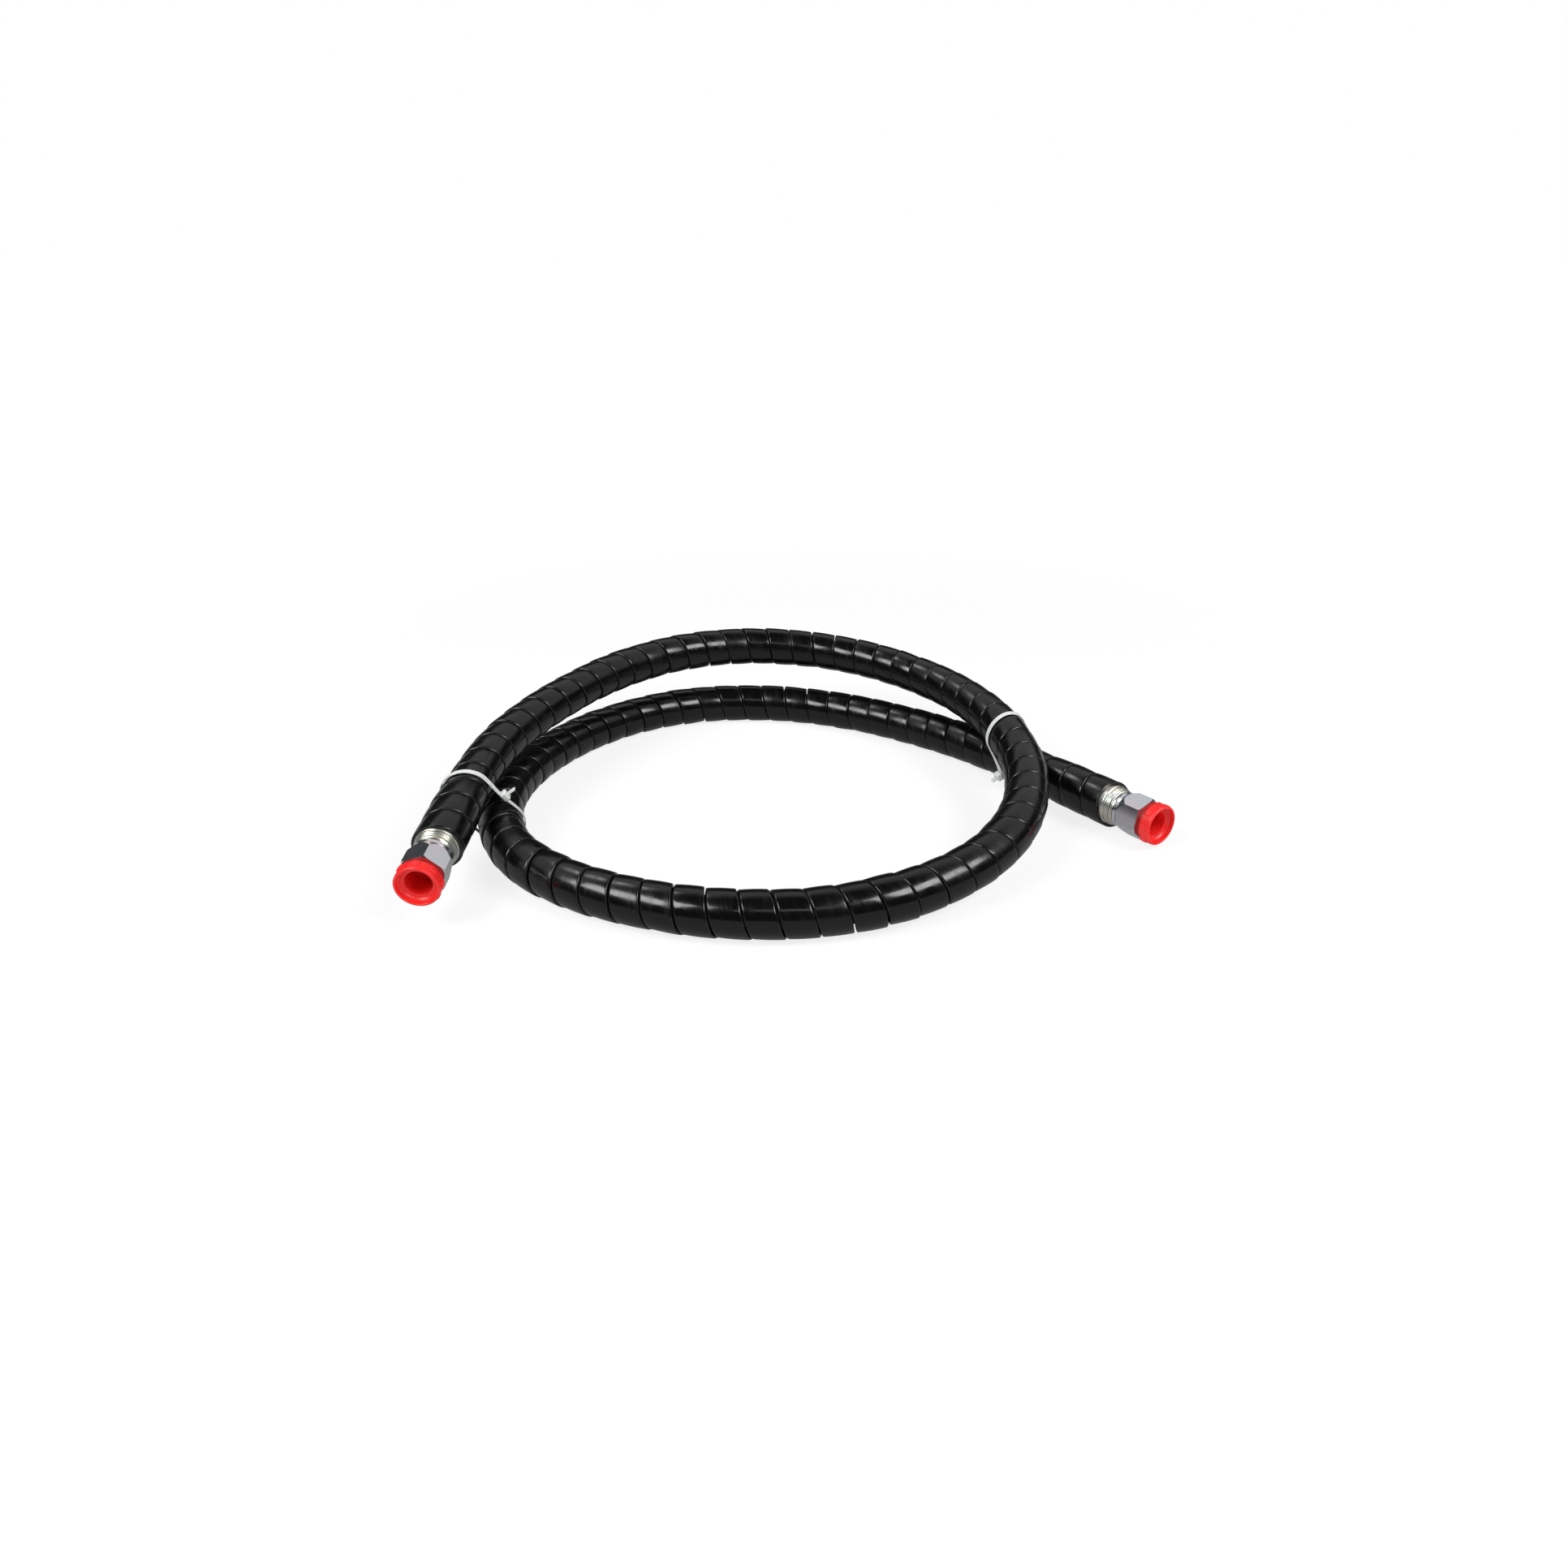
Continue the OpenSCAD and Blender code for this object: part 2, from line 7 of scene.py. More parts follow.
import logging
import math
from dataclasses import dataclass, field
from enum import Enum
from functools import cached_property
from typing import Any, Mapping, Sequence

import bpy
import numpy as np
from mathutils import Matrix, Vector


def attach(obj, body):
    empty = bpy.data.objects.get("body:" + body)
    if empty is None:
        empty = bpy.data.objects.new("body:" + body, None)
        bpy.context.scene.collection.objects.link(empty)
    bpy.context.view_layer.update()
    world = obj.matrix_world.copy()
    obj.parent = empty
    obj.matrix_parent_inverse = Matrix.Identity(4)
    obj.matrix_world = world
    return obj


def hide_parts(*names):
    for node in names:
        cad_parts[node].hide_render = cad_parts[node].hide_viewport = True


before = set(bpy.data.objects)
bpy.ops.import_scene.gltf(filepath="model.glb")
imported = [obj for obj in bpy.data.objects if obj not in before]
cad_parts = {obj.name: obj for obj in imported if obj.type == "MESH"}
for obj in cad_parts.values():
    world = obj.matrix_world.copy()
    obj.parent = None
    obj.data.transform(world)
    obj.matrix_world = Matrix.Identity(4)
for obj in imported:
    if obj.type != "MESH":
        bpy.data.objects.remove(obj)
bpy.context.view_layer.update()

log = logging.getLogger("hose")
MM = 0.001
TURN = 2.0 * math.pi
MERGE_DISTANCE = 0.000001
WHITE = (1.0, 1.0, 1.0)
Color = tuple[float, float, float]
Point2 = tuple[float, float]
Point3 = tuple[float, float, float]
Profile = Sequence[Point2]
Drift = tuple[float, int, float]
Piece = bpy.types.Object


class End(Enum):
    """The two ends of the hose."""

    LEFT = "left"
    RIGHT = "right"


class Slot(Enum):
    """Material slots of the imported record."""

    GUARD = "guard"
    RUBBER = "rubber"
    BRAID = "braid"
    ZINC = "zinc"
    PLUG = "plug"
    TIE = "tie"


# ---- Shader building ----


class Value:
    """A shader socket that takes part in sums and products like a number."""

    def __init__(self, graph: "Graph", socket: Any) -> None:
        """Wraps an output socket of a graph."""
        self.graph = graph
        self.socket = socket

    def _math(self, operation: str, *values: Any) -> "Value":
        """Result of one Math node on numbers and values."""
        node = self.graph.node("ShaderNodeMath", {"operation": operation}, dict(enumerate(values)))
        return Value(self.graph, node.outputs[0])

    def __add__(self, other: Any) -> "Value":
        """Sum."""
        return self._math("ADD", self, other)

    __radd__ = __add__

    def __sub__(self, other: Any) -> "Value":
        """Difference."""
        return self._math("SUBTRACT", self, other)

    def __rsub__(self, other: Any) -> "Value":
        """Difference with the value on the right."""
        return self._math("SUBTRACT", other, self)

    def __mul__(self, other: Any) -> "Value":
        """Product."""
        return self._math("MULTIPLY", self, other)

    def __abs__(self) -> "Value":
        """Size without the sign."""
        return self._math("ABSOLUTE", self)

    def sine(self) -> "Value":
        """Sine of the value in radians."""
        return self._math("SINE", self)

    def larger(self, other: Any) -> "Value":
        """The larger of two values."""
        return self._math("MAXIMUM", self, other)

    def between(self, low: float, high: float) -> "Value":
        """Smooth step from 0 at low to 1 at high.

        Args:
            low: Where the step starts.
            high: Where it ends, above or below low.

        Returns:
            The step, from 0 to 1.
        """
        settings = {"interpolation_type": "SMOOTHSTEP"}
        inputs = {"Value": self, "From Min": low, "From Max": high}
        return Value(self.graph, self.graph.node("ShaderNodeMapRange", settings, inputs).outputs[0])


class Graph:
    """The node tree of one material or of the world."""

    def __init__(self, owner: Any) -> None:
        """Starts an empty tree.

        Args:
            owner: The material or world that the tree belongs to.
        """
        owner.use_nodes = True
        self.tree = owner.node_tree
        self.tree.nodes.clear()

    def node(self, kind: str, settings: Mapping[str, Any], inputs: Mapping[Any, Any]) -> Any:
        """Adds a node.

        Args:
            kind: The node's type.
            settings: Attributes that are set first.
            inputs: Sockets by name or place, with a value, a socket or a constant for each.

        Returns:
            The new node.
        """
        made = self.tree.nodes.new(kind)
        for name, value in settings.items():
            setattr(made, name, value)
        for name, value in inputs.items():
            socket = made.inputs[name]
            if isinstance(value, Value):
                self.tree.links.new(value.socket, socket)
            elif isinstance(value, bpy.types.NodeSocket):
                self.tree.links.new(value, socket)
            elif isinstance(value, tuple) and len(value) == 3 and len(socket.default_value) == 4:
                socket.default_value = (*value, 1.0)
            else:
                socket.default_value = value
        return made

    def place(self) -> Any:
        """Object coordinates of the surface, in metres."""
        return self.node("ShaderNodeTexCoord", {}, {}).outputs["Object"]

    def wound(self, name: str) -> tuple[Value, Value, Any]:
        """Coordinates of a piece's own map.

        Args:
            name: The map's name.

        Returns:
            Its two coordinates and the whole vector.
        """
        vector = self.node("ShaderNodeUVMap", {"uv_map": name}, {}).outputs[0]
        parts = self.node("ShaderNodeSeparateXYZ", {}, {0: vector}).outputs
        return Value(self, parts[0]), Value(self, parts[1]), vector

    def stretched(self, vector: Any, scale: Color) -> Any:
        """The coordinates with each part multiplied."""
        return self.node("ShaderNodeMapping", {}, {"Vector": vector, "Scale": scale}).outputs[0]

    def noise(self, vector: Any, scale: float, detail: float = 2.0, rough: float = 0.5) -> Value:
        """Soft noise round 0.5 by its waves per unit, octaves and the finer ones' strength."""
        inputs = {"Vector": vector, "Scale": scale, "Detail": detail, "Roughness": rough}
        return Value(self, self.node("ShaderNodeTexNoise", {}, inputs).outputs[0])

    def cells(self, vector: Any, scale: float) -> Value:
        """Distance to the nearest point of a scatter with so many points per unit."""
        inputs = {"Vector": vector, "Scale": scale}
        return Value(self, self.node("ShaderNodeTexVoronoi", {}, inputs).outputs[0])

    def mix(self, factor: Any, first: Any, second: Any) -> Any:
        """Colour between two colours or sockets, by the share of the second."""
        made = self.node("ShaderNodeMix", {"data_type": "RGBA"}, {0: factor, 6: first, 7: second})
        return made.outputs[2]

    def bump(self, height: Value, depth: float, strength: float = 1.0, normal: Any = None) -> Any:
        """Turns a height into a normal.

        Args:
            height: The height, 0 to 1.
            depth: What a height of 1 stands for, in metres.
            strength: Share of the bump that shows.
            normal: A normal that it adds to.

        Returns:
            The normal socket.
        """
        inputs = {"Height": height, "Distance": depth, "Strength": strength}
        if normal is not None:
            inputs["Normal"] = normal
        return self.node("ShaderNodeBump", {}, inputs).outputs[0]

    def rays(self) -> tuple[Value, Value]:
        """Tells what a ray is for.

        Returns:
            1 for a ray from the camera or through glass, and 1 for a ray off gloss.
        """
        found = self.node("ShaderNodeLightPath", {}, {}).outputs
        kinds = ("Camera", "Transmission", "Glossy")
        seen, through, gloss = (Value(self, found[f"Is {kind} Ray"]) for kind in kinds)
        return seen.larger(through), gloss

    def emission(self, color: Color, strength: Any) -> Any:
        """A glow of one colour, with an even or a varying strength."""
        inputs = {"Color": color, "Strength": strength}
        return self.node("ShaderNodeEmission", {}, inputs).outputs[0]

    def output(self, surface: Any, kind: str = "Material") -> None:
        """Adds the output of a material or of the world."""
        self.node(f"ShaderNodeOutput{kind}", {}, {"Surface": surface})

    def finish(self, even: Mapping[str, Any], base: Any, roughness: Value, normal: Any) -> None:
        """Adds the shader with its even inputs and its varying ones, and the output."""
        inputs = {**even, "Base Color": base, "Roughness": roughness, "Normal": normal}
        self.output(self.node("ShaderNodeBsdfPrincipled", {}, inputs).outputs[0])


# ---- Finishes ----


@dataclass(frozen=True)
class Finish:
    """A surface finish that is made once and shared by its pieces."""

    title: str
    slot: Slot
    color: Color
    roughness: float

    def material(self) -> bpy.types.Material:
        """The material, made at its first use.

        Returns:
            The material.
        """
        found = bpy.data.materials.get(self.title)
        if found is None:
            found = bpy.data.materials.new(self.title)
            found.diffuse_color = (*self.color, 1.0)
            self.shade(Graph(found))
        return found

    def shade(self, graph: Graph) -> None:
        """Fills the material's node tree."""
        raise NotImplementedError

    def dress(self, piece: Piece) -> None:
        """Gives a piece this finish alone.

        Args:
            piece: The mesh object.
        """
        piece.data.materials.clear()
        piece.data.materials.append(self.material())


@dataclass(frozen=True)
class GuardPlastic(Finish):
    """Glossy black polyethylene of the wound strip, with paler edges: partly rubbed wear, partly a
    painted highlight line.
    """

    # Paler colour of the strip's edges: rubbed wear, and a painted highlight line along each seam
    rubbed_and_edge_highlight: Color = (0.035, 0.035, 0.036)
    dust: Color = (0.008, 0.008, 0.009)
    edge_share: float = 0.03
    ripple_depth: float = 0.0005
    line_depth: float = 0.00003

    def shade(self, graph: Graph) -> None:
        """Ripples and scuffs along the strip over a nearly black base.

        Args:
            graph: The material's tree.
        """
        across, _, vector = graph.wound("strip")
        where = graph.place()
        clouds = graph.noise(where, 45.0, 3.0)
        drawn = graph.noise(graph.stretched(vector, (14.0, 1.2, 1.0)), 1.0, 5.0, 0.65)
        smears = graph.noise(graph.stretched(vector, (1.6, 2.6, 1.0)), 2.4, 5.0, 0.62)
        patches = graph.noise(graph.stretched(vector, (0.7, 1.1, 1.0)), 1.0, 2.0)
        grit = graph.cells(where, 900.0).between(0.16, 0.02)
        edge = abs(across - 0.5).between(0.5 - self.edge_share, 0.5 - 0.3 * self.edge_share)
        # Paler edges: partly rubbed wear, partly a painted highlight line along each edge of the
        # strip
        wear_and_highlight = edge * graph.noise(where, 130.0, 4.0, 0.7).between(0.3, 0.62)
        dusty = smears.between(0.5, 0.8) * 0.45 + grit * 0.2
        base = graph.mix(dusty, self.color, self.dust)
        base = graph.mix(wear_and_highlight * 0.7, base, self.rubbed_and_edge_highlight)
        roughness = self.roughness + patches.between(0.4, 0.68) * 0.1
        roughness = roughness + smears.between(0.42, 0.7) * 0.1 + drawn.between(0.4, 0.7) * 0.05
        ripple = graph.bump(clouds, self.ripple_depth, 0.3)
        graph.finish({"IOR": 1.46}, base, roughness - edge * 0.05,
                     graph.bump(drawn, self.line_depth, 0.5, ripple))


@dataclass(frozen=True)
class WrappedRubber(Finish):
    """Satin black rubber with the print of the wrapping cloth it was cured in."""

    bloomed: Color = (0.05, 0.05, 0.052)
    threads: float = 1500.0
    thread_depth: float = 0.00008

    def shade(self, graph: Graph) -> None:
        """Crossed threads pressed into the surface, with bloom in the hollows.

        Args:
            graph: The material's tree.
        """
        across, along, _ = graph.wound("skin")
        cloth = (across * self.threads).sine() * (along * self.threads).sine() * 0.5 + 0.5
        bloom = graph.noise(graph.place(), 90.0, 4.0, 0.6)
        base = graph.mix(bloom.between(0.45, 0.8) * 0.5, self.color, self.bloomed)
        graph.finish({"IOR": 1.52}, base, self.roughness + bloom * 0.14,
                     graph.bump(cloth, self.thread_depth, 0.7))


@dataclass(frozen=True)
class SmoothRubber(Finish):
    """Moulded or extruded rubber with a faint bloom."""

    bloomed: Color = (0.045, 0.045, 0.047)
    pore_depth: float = 0.00004

    def shade(self, graph: Graph) -> None:
        """Fine pores and a cloudy bloom.

        Args:
            graph: The material's tree.
        """
        where = graph.place()
        bloom = graph.noise(where, 160.0, 4.0, 0.6)
        base = graph.mix(bloom.between(0.4, 0.8) * 0.4, self.color, self.bloomed)
        graph.finish({"IOR": 1.52}, base, self.roughness + bloom * 0.16,
                     graph.bump(graph.cells(where, 2600.0), self.pore_depth, 0.5))


@dataclass(frozen=True)
class WireWeave(Finish):
    """Braid of drawn steel wires that cross over and under in flat bundles."""

    shaded: Color = (0.12, 0.1, 0.07)
    # Paler colour on the crowns of the wires: a painted highlight
    wear_and_highlight: Color = (0.75, 0.7, 0.55)
    wires: float = 10.0
    bundles: float = 24.0
    crossings: float = 55.0
    wire_depth: float = 0.00018

    def shade(self, graph: Graph) -> None:
        """Two sets of slanting wires, one over the other in a chequer, with painted shade in the gaps
        and a painted highlight on the crowns.

        Args:
            graph: The material's tree.
        """
        across, along, _ = graph.wound("skin")
        one = (across * self.bundles + along * self.crossings) * TURN
        two = (across * self.bundles - along * self.crossings) * TURN
        over = (one.sine() * two.sine()).between(-0.12, 0.12)
        first = (one * self.wires * 0.5).sine() * 0.5 + 0.5
        second = (two * self.wires * 0.5).sine() * 0.5 + 0.5
        height = over * first + (1.0 - over) * second
        gap = 1.0 - abs(one.sine()).larger(abs(two.sine())).between(0.08, 0.3)
        base = graph.mix(gap * 0.7, self.color, self.shaded)
        # Painted highlight: paler towards the crown of each wire, by its height
        base = graph.mix(height * 0.35, base, self.wear_and_highlight)
        graph.finish({"Metallic": 1.0}, base, self.roughness + gap * 0.3,
                     graph.bump(height, self.wire_depth, 0.9))


@dataclass(frozen=True)
class ZincPlate(Finish):
    """Bright zinc plating over turned or milled steel, with a faint coloured cast."""

    warm: Color
    cool: Color
    # Waves of the tool marks: round the axis, and along it and outward
    marks: Point2
    stained: Color = (0.42, 0.41, 0.38)
    mark_depth: float = 0.000004
    ripple_depth: float = 0.00002

    def shade(self, graph: Graph) -> None:
        """Tool marks round the axis, soft clouds and a pink and blue cast.

        Args:
            graph: The material's tree.
        """
        where = graph.place()
        turned = graph.stretched(graph.wound("turned")[2], (*self.marks, 1.0))
        marks = graph.noise(turned, 1.0, 3.0, 0.6)
        clouds = graph.noise(where, 160.0, 3.0, 0.55)
        cast = graph.noise(where, 70.0, 2.0)
        stain = graph.noise(where, 420.0, 5.0, 0.65).between(0.58, 0.75)
        base = graph.mix(cast.between(0.3, 0.7), self.warm, self.cool)
        base = graph.mix(clouds.between(0.45, 0.75) * 0.45, base, self.color)
        base = graph.mix(stain * 0.2, base, self.stained)
        roughness = self.roughness + clouds * 0.08 + marks * 0.06 + stain * 0.12
        ripple = graph.bump(graph.noise(where, 180.0, 2.0), self.ripple_depth, 0.3)
        graph.finish({"Metallic": 1.0}, base, roughness,
                     graph.bump(marks, self.mark_depth, 0.5, ripple))


@dataclass(frozen=True)
class PlugPlastic(Finish):
    """Bright red moulded polyethylene, waxy and a little scuffed, with painted shade on the neck."""

    bloomed: Color = (0.86, 0.03, 0.026)
    scuffed: Color = (0.95, 0.22, 0.2)
    # Painted shade: dark red for the neck between the nut and the rim
    shank: Color = (0.32, 0.003, 0.004)
    # Where the painted shade on the neck ends: height from the guard's mouth and radius, in metres
    neck_shade_heights: Point2 = (0.0394, 0.0384)
    neck_shade_radii: Point2 = (0.0118, 0.0128)
    flow_depth: float = 0.0004
    grain_depth: float = 0.00002

    def shade(self, graph: Graph) -> None:
        """Flow clouds, a waxy bloom, short scuffs and painted shade on the neck.

        Args:
            graph: The material's tree.
        """
        where = graph.place()
        flow = graph.noise(where, 90.0, 3.0, 0.55)
        scuffs = graph.noise(graph.stretched(where, (300.0, 300.0, 40.0)), 1.0, 5.0, 0.7)
        scuffs = scuffs.between(0.6, 0.72)
        base = graph.mix(flow.between(0.35, 0.75) * 0.4, self.color, self.bloomed)
        base = graph.mix(scuffs * 0.22, base, self.scuffed)
        # Painted shade: the neck between the nut and the rim, outside the shank, turns dark red
        radius, height, _ = graph.wound("reach")
        neck = height.between(*self.neck_shade_heights) * radius.between(*self.neck_shade_radii)
        grain = graph.bump(graph.noise(where, 1500.0, 2.0), self.grain_depth, 0.5)
        graph.finish({"IOR": 1.5, "Subsurface Weight": 0.05, "Subsurface Scale": 0.001,
                      "Subsurface Radius": (1.0, 0.12, 0.1)},
                     graph.mix(neck, base, self.shank), self.roughness + scuffs * 0.2 + flow * 0.08,
                     graph.bump(flow, self.flow_depth, 0.3, grain))


@dataclass(frozen=True)
class NaturalNylon(Finish):
    """Milky natural nylon of a cable tie."""

    milky: Color = (0.66, 0.69, 0.67)
    skin_depth: float = 0.00003

    def shade(self, graph: Graph) -> None:
        """Milky clouds with a satin skin.

        Args:
            graph: The material's tree.
        """
        where = graph.place()
        milk = graph.noise(where, 260.0, 3.0)
        base = graph.mix(milk.between(0.3, 0.7), self.color, self.milky)
        graph.finish({"IOR": 1.53, "Subsurface Weight": 0.2, "Subsurface Scale": 0.001,
                      "Subsurface Radius": (1.0, 0.9, 0.8)},
                     base, self.roughness + milk * 0.12,
                     graph.bump(graph.noise(where, 1800.0, 2.0), self.skin_depth, 0.5))


@dataclass(frozen=True)
class DrawnWire(Finish):
    """Hard-drawn spring wire with marks along its length."""

    dulled: Color = (0.3, 0.28, 0.25)
    mark_depth: float = 0.00003

    def shade(self, graph: Graph) -> None:
        """Grey steel with fine drawing marks.

        Args:
            graph: The material's tree.
        """
        marks = graph.noise(graph.stretched(graph.place(), (900.0, 900.0, 3000.0)), 1.0, 3.0, 0.6)
        base = graph.mix(marks.between(0.4, 0.7) * 0.6, self.color, self.dulled)
        graph.finish({"Metallic": 1.0}, base, self.roughness + marks * 0.2,
                     graph.bump(marks, self.mark_depth, 0.6))


GUARD_BLACK = GuardPlastic("guard_black", Slot.GUARD, (0.0025, 0.0025, 0.0028), 0.13)
COVER_RUBBER = WrappedRubber("cover_rubber", Slot.RUBBER, (0.018, 0.018, 0.019), 0.55)
TUBE_RUBBER = SmoothRubber("tube_rubber", Slot.RUBBER, (0.014, 0.014, 0.015), 0.42)
RING_RUBBER = SmoothRubber("ring_rubber", Slot.RUBBER, (0.012, 0.012, 0.013), 0.3)
BRAID_WIRE = WireWeave("braid_wire", Slot.BRAID, (0.56, 0.51, 0.38), 0.3)
TURNED_ZINC = ZincPlate("turned_zinc", Slot.ZINC, (0.76, 0.76, 0.7), 0.24,
                        warm=(0.74, 0.72, 0.62), cool=(0.6, 0.65, 0.61), marks=(2.0, 2600.0))
MILLED_ZINC = ZincPlate("milled_zinc", Slot.ZINC, (0.9, 0.9, 0.9), 0.14,
                        warm=(0.93, 0.83, 0.9), cool=(0.78, 0.85, 0.9), marks=(900.0, 130.0))
SPRING_WIRE = DrawnWire("spring_wire", Slot.BRAID, (0.55, 0.54, 0.52), 0.28)
PLUG_RED = PlugPlastic("plug_red", Slot.PLUG, (0.8, 0.012, 0.012), 0.36)
TIE_NYLON = NaturalNylon("tie_nylon", Slot.TIE, (0.76, 0.78, 0.76), 0.34)


# ---- The hose's route ----


@dataclass
class HoseRoute:
    """Centre line of the hose: a smooth curve with a straight run inside each ferrule."""

    points: Sequence[Point3] = (
        (-260.5, -114, 46), (-256, -9, 59), (-206, 90, 69), (-150, 170, 72), (-65, 215, 73),
        (40, 205, 68), (120, 145, 62), (170, 60, 56), (185, -45, 42), (145, -140, 28),
        (65, -195, 19), (-25, -215, 17), (-130, -195, 17), (-220, -135, 18), (-250, -45, 21),
        (-235, 60, 19), (-180, 150, 17), (-100, 200, 17), (5, 195, 17), (95, 145, 17),
        (166, 72, 20), (223, -10, 20.5))
    centring: Point3 = (-3, 0, 0)
    straight_run: float = 42.0
    samples: int = 6000

    @cached_property
    def control(self) -> np.ndarray:
        """Control points with one more beyond each end."""
        path = np.array(self.points, float) + self.centring
        return np.vstack([2 * path[0] - path[1], path, 2 * path[-1] - path[-2]])

    @cached_property
    def spans(self) -> int:
        """Number of spans of the curve."""
        return len(self.points) - 1

    @cached_property
    def table(self) -> tuple[np.ndarray, np.ndarray]:
        """Measures the curve.

        Returns:
            Curve parameters, and the distance along the curve at each.
        """
        u = np.linspace(0, self.spans, self.samples + 1)
        steps = np.linalg.norm(np.diff(self._curve(u)[0], axis=0), axis=1)
        return u, np.concatenate([[0.0], np.cumsum(steps)])

    @cached_property
    def length(self) -> float:
        """Length of the guard from mouth to mouth."""
        return float(self.table[1][-1]) + 2 * self.straight_run

    def _curve(self, u: np.ndarray) -> tuple[np.ndarray, np.ndarray]:
        """Points and slopes of the curve.

        Args:
            u: Curve parameters.

        Returns:
            Points and unit directions.
        """
        i = np.clip(np.floor(u).astype(int), 0, self.spans - 1)
        f = u - i
        second, third = 3 * f ** 3 - 6 * f ** 2 + 4, -3 * f ** 3 + 3 * f ** 2 + 3 * f + 1
        point = np.stack([(1 - f) ** 3, second, third, f ** 3], 1)
        slope = np.stack([-(1 - f) ** 2, 3 * f ** 2 - 4 * f, -3 * f ** 2 + 2 * f + 1, f ** 2], 1)
        near = np.stack([self.control[i + k] for k in range(4)], 1)
        direction = (slope[..., None] * near).sum(1)
        direction /= np.linalg.norm(direction, axis=1)[:, None]
        return (point[..., None] * near).sum(1) / 6, direction

    def at(self, distance: Any) -> tuple[np.ndarray, np.ndarray]:
        """Points and directions at distances from the guard's left mouth.

        Args:
            distance: Distances, also beyond the ends.

        Returns:
            Points and unit directions.
        """
        s = np.atleast_1d(np.asarray(distance, float)) - self.straight_run
        u, along = self.table
        points, directions = self._curve(np.interp(s, along, u))
        for outside, place in ((s < 0, 0.0), (s > along[-1], along[-1])):
            points[outside] += (s[outside] - place)[:, None] * directions[outside]
        return points, directions

    def frames(self, distance: Any) -> tuple[np.ndarray, ...]:
        """Frames of the route, their sideways directions level.

        Args:
            distance: Distances from the left mouth.

        Returns:
            Points, directions, sideways and upward directions.
        """
        points, directions = self.at(distance)
        side = np.cross([0.0, 0.0, 1.0], directions)
        side /= np.linalg.norm(side, axis=1)[:, None]
        return points, directions, side, np.cross(directions, side)

    def mouth(self, end: End) -> Matrix:
        """Placement at a mouth of the guard, with Z outward and X level.

        Args:
            end: Which end.

        Returns:
            The placement, in metres.
        """
        points, directions = self.at([0.0 if end is End.LEFT else self.length])
        out = Vector(directions[0]) * (-1 if end is End.LEFT else 1)
        level = Vector((0, 0, 1)).cross(out).normalized()
        upper = out.cross(level)
        turn = Matrix((level, upper, out)).transposed().to_4x4()
        return Matrix.Translation(Vector(points[0]) * MM) @ turn


# ---- Mesh tools ----


def grid_mesh(name: str, rings: np.ndarray, loops: Sequence[Sequence[int]],
              caps: Sequence[Sequence[int]], layer: str, across: np.ndarray, along: np.ndarray,
              closed: bool = False) -> Piece:
    """Makes a mesh from rings of points joined one to the next.

    Args:
        name: Name of the piece.
        rings: Points in millimetres, ring by ring.
        loops: Closed rows of ring points that are joined along the piece.
        caps: Faces over the ends, as rows of ring points at the first ring.
        layer: Name of the map.
        across: Map coordinate of each ring point, with the closing value after each loop's last.
        along: Map coordinate of each ring, with the closing value last where the piece is closed.
        closed: True if the last ring joins the first.

    Returns:
        The new object.
    """
    count, size = rings.shape[:2]
    ring = np.arange(count if closed else count - 1)
    after = (ring + 1) % count
    lower, upper = along[ring], along[ring + 1]
    faces, maps = [], []
    start = 0
    for loop in loops:
        for j, (a, b) in enumerate(zip(loop, [*loop[1:], loop[0]])):
            quad = [ring * size + a, ring * size + b, after * size + b, after * size + a]
            faces.append(np.stack(quad, 1))
            u0, u1 = across[start + j], across[start + j + 1]
            corners = ((u0, lower), (u1, lower), (u1, upper), (u0, upper))
            maps.append(np.stack([np.stack(np.broadcast_arrays(u, v), 1) for u, v in corners], 1))
        start += len(loop) + 1
    tail = (count - 1) * size
    ends = [list(reversed(cap)) for cap in caps] + [[tail + k for k in cap] for cap in caps]
    maps = [*(part.reshape(-1, 2) for part in maps), np.full((sum(map(len, ends)), 2), 0.5)]
    mesh = bpy.data.meshes.new(name)
    points = (rings.reshape(-1, 3) * MM).tolist()
    mesh.from_pydata(points, [], np.concatenate(faces).tolist() + ends)
    uv = np.concatenate(maps).astype(np.float32).ravel()
    mesh.uv_layers.new(name=layer).data.foreach_set("uv", uv)
    mesh.update()
    piece = bpy.data.objects.new(name, mesh)
    bpy.context.scene.collection.objects.link(piece)
    return piece


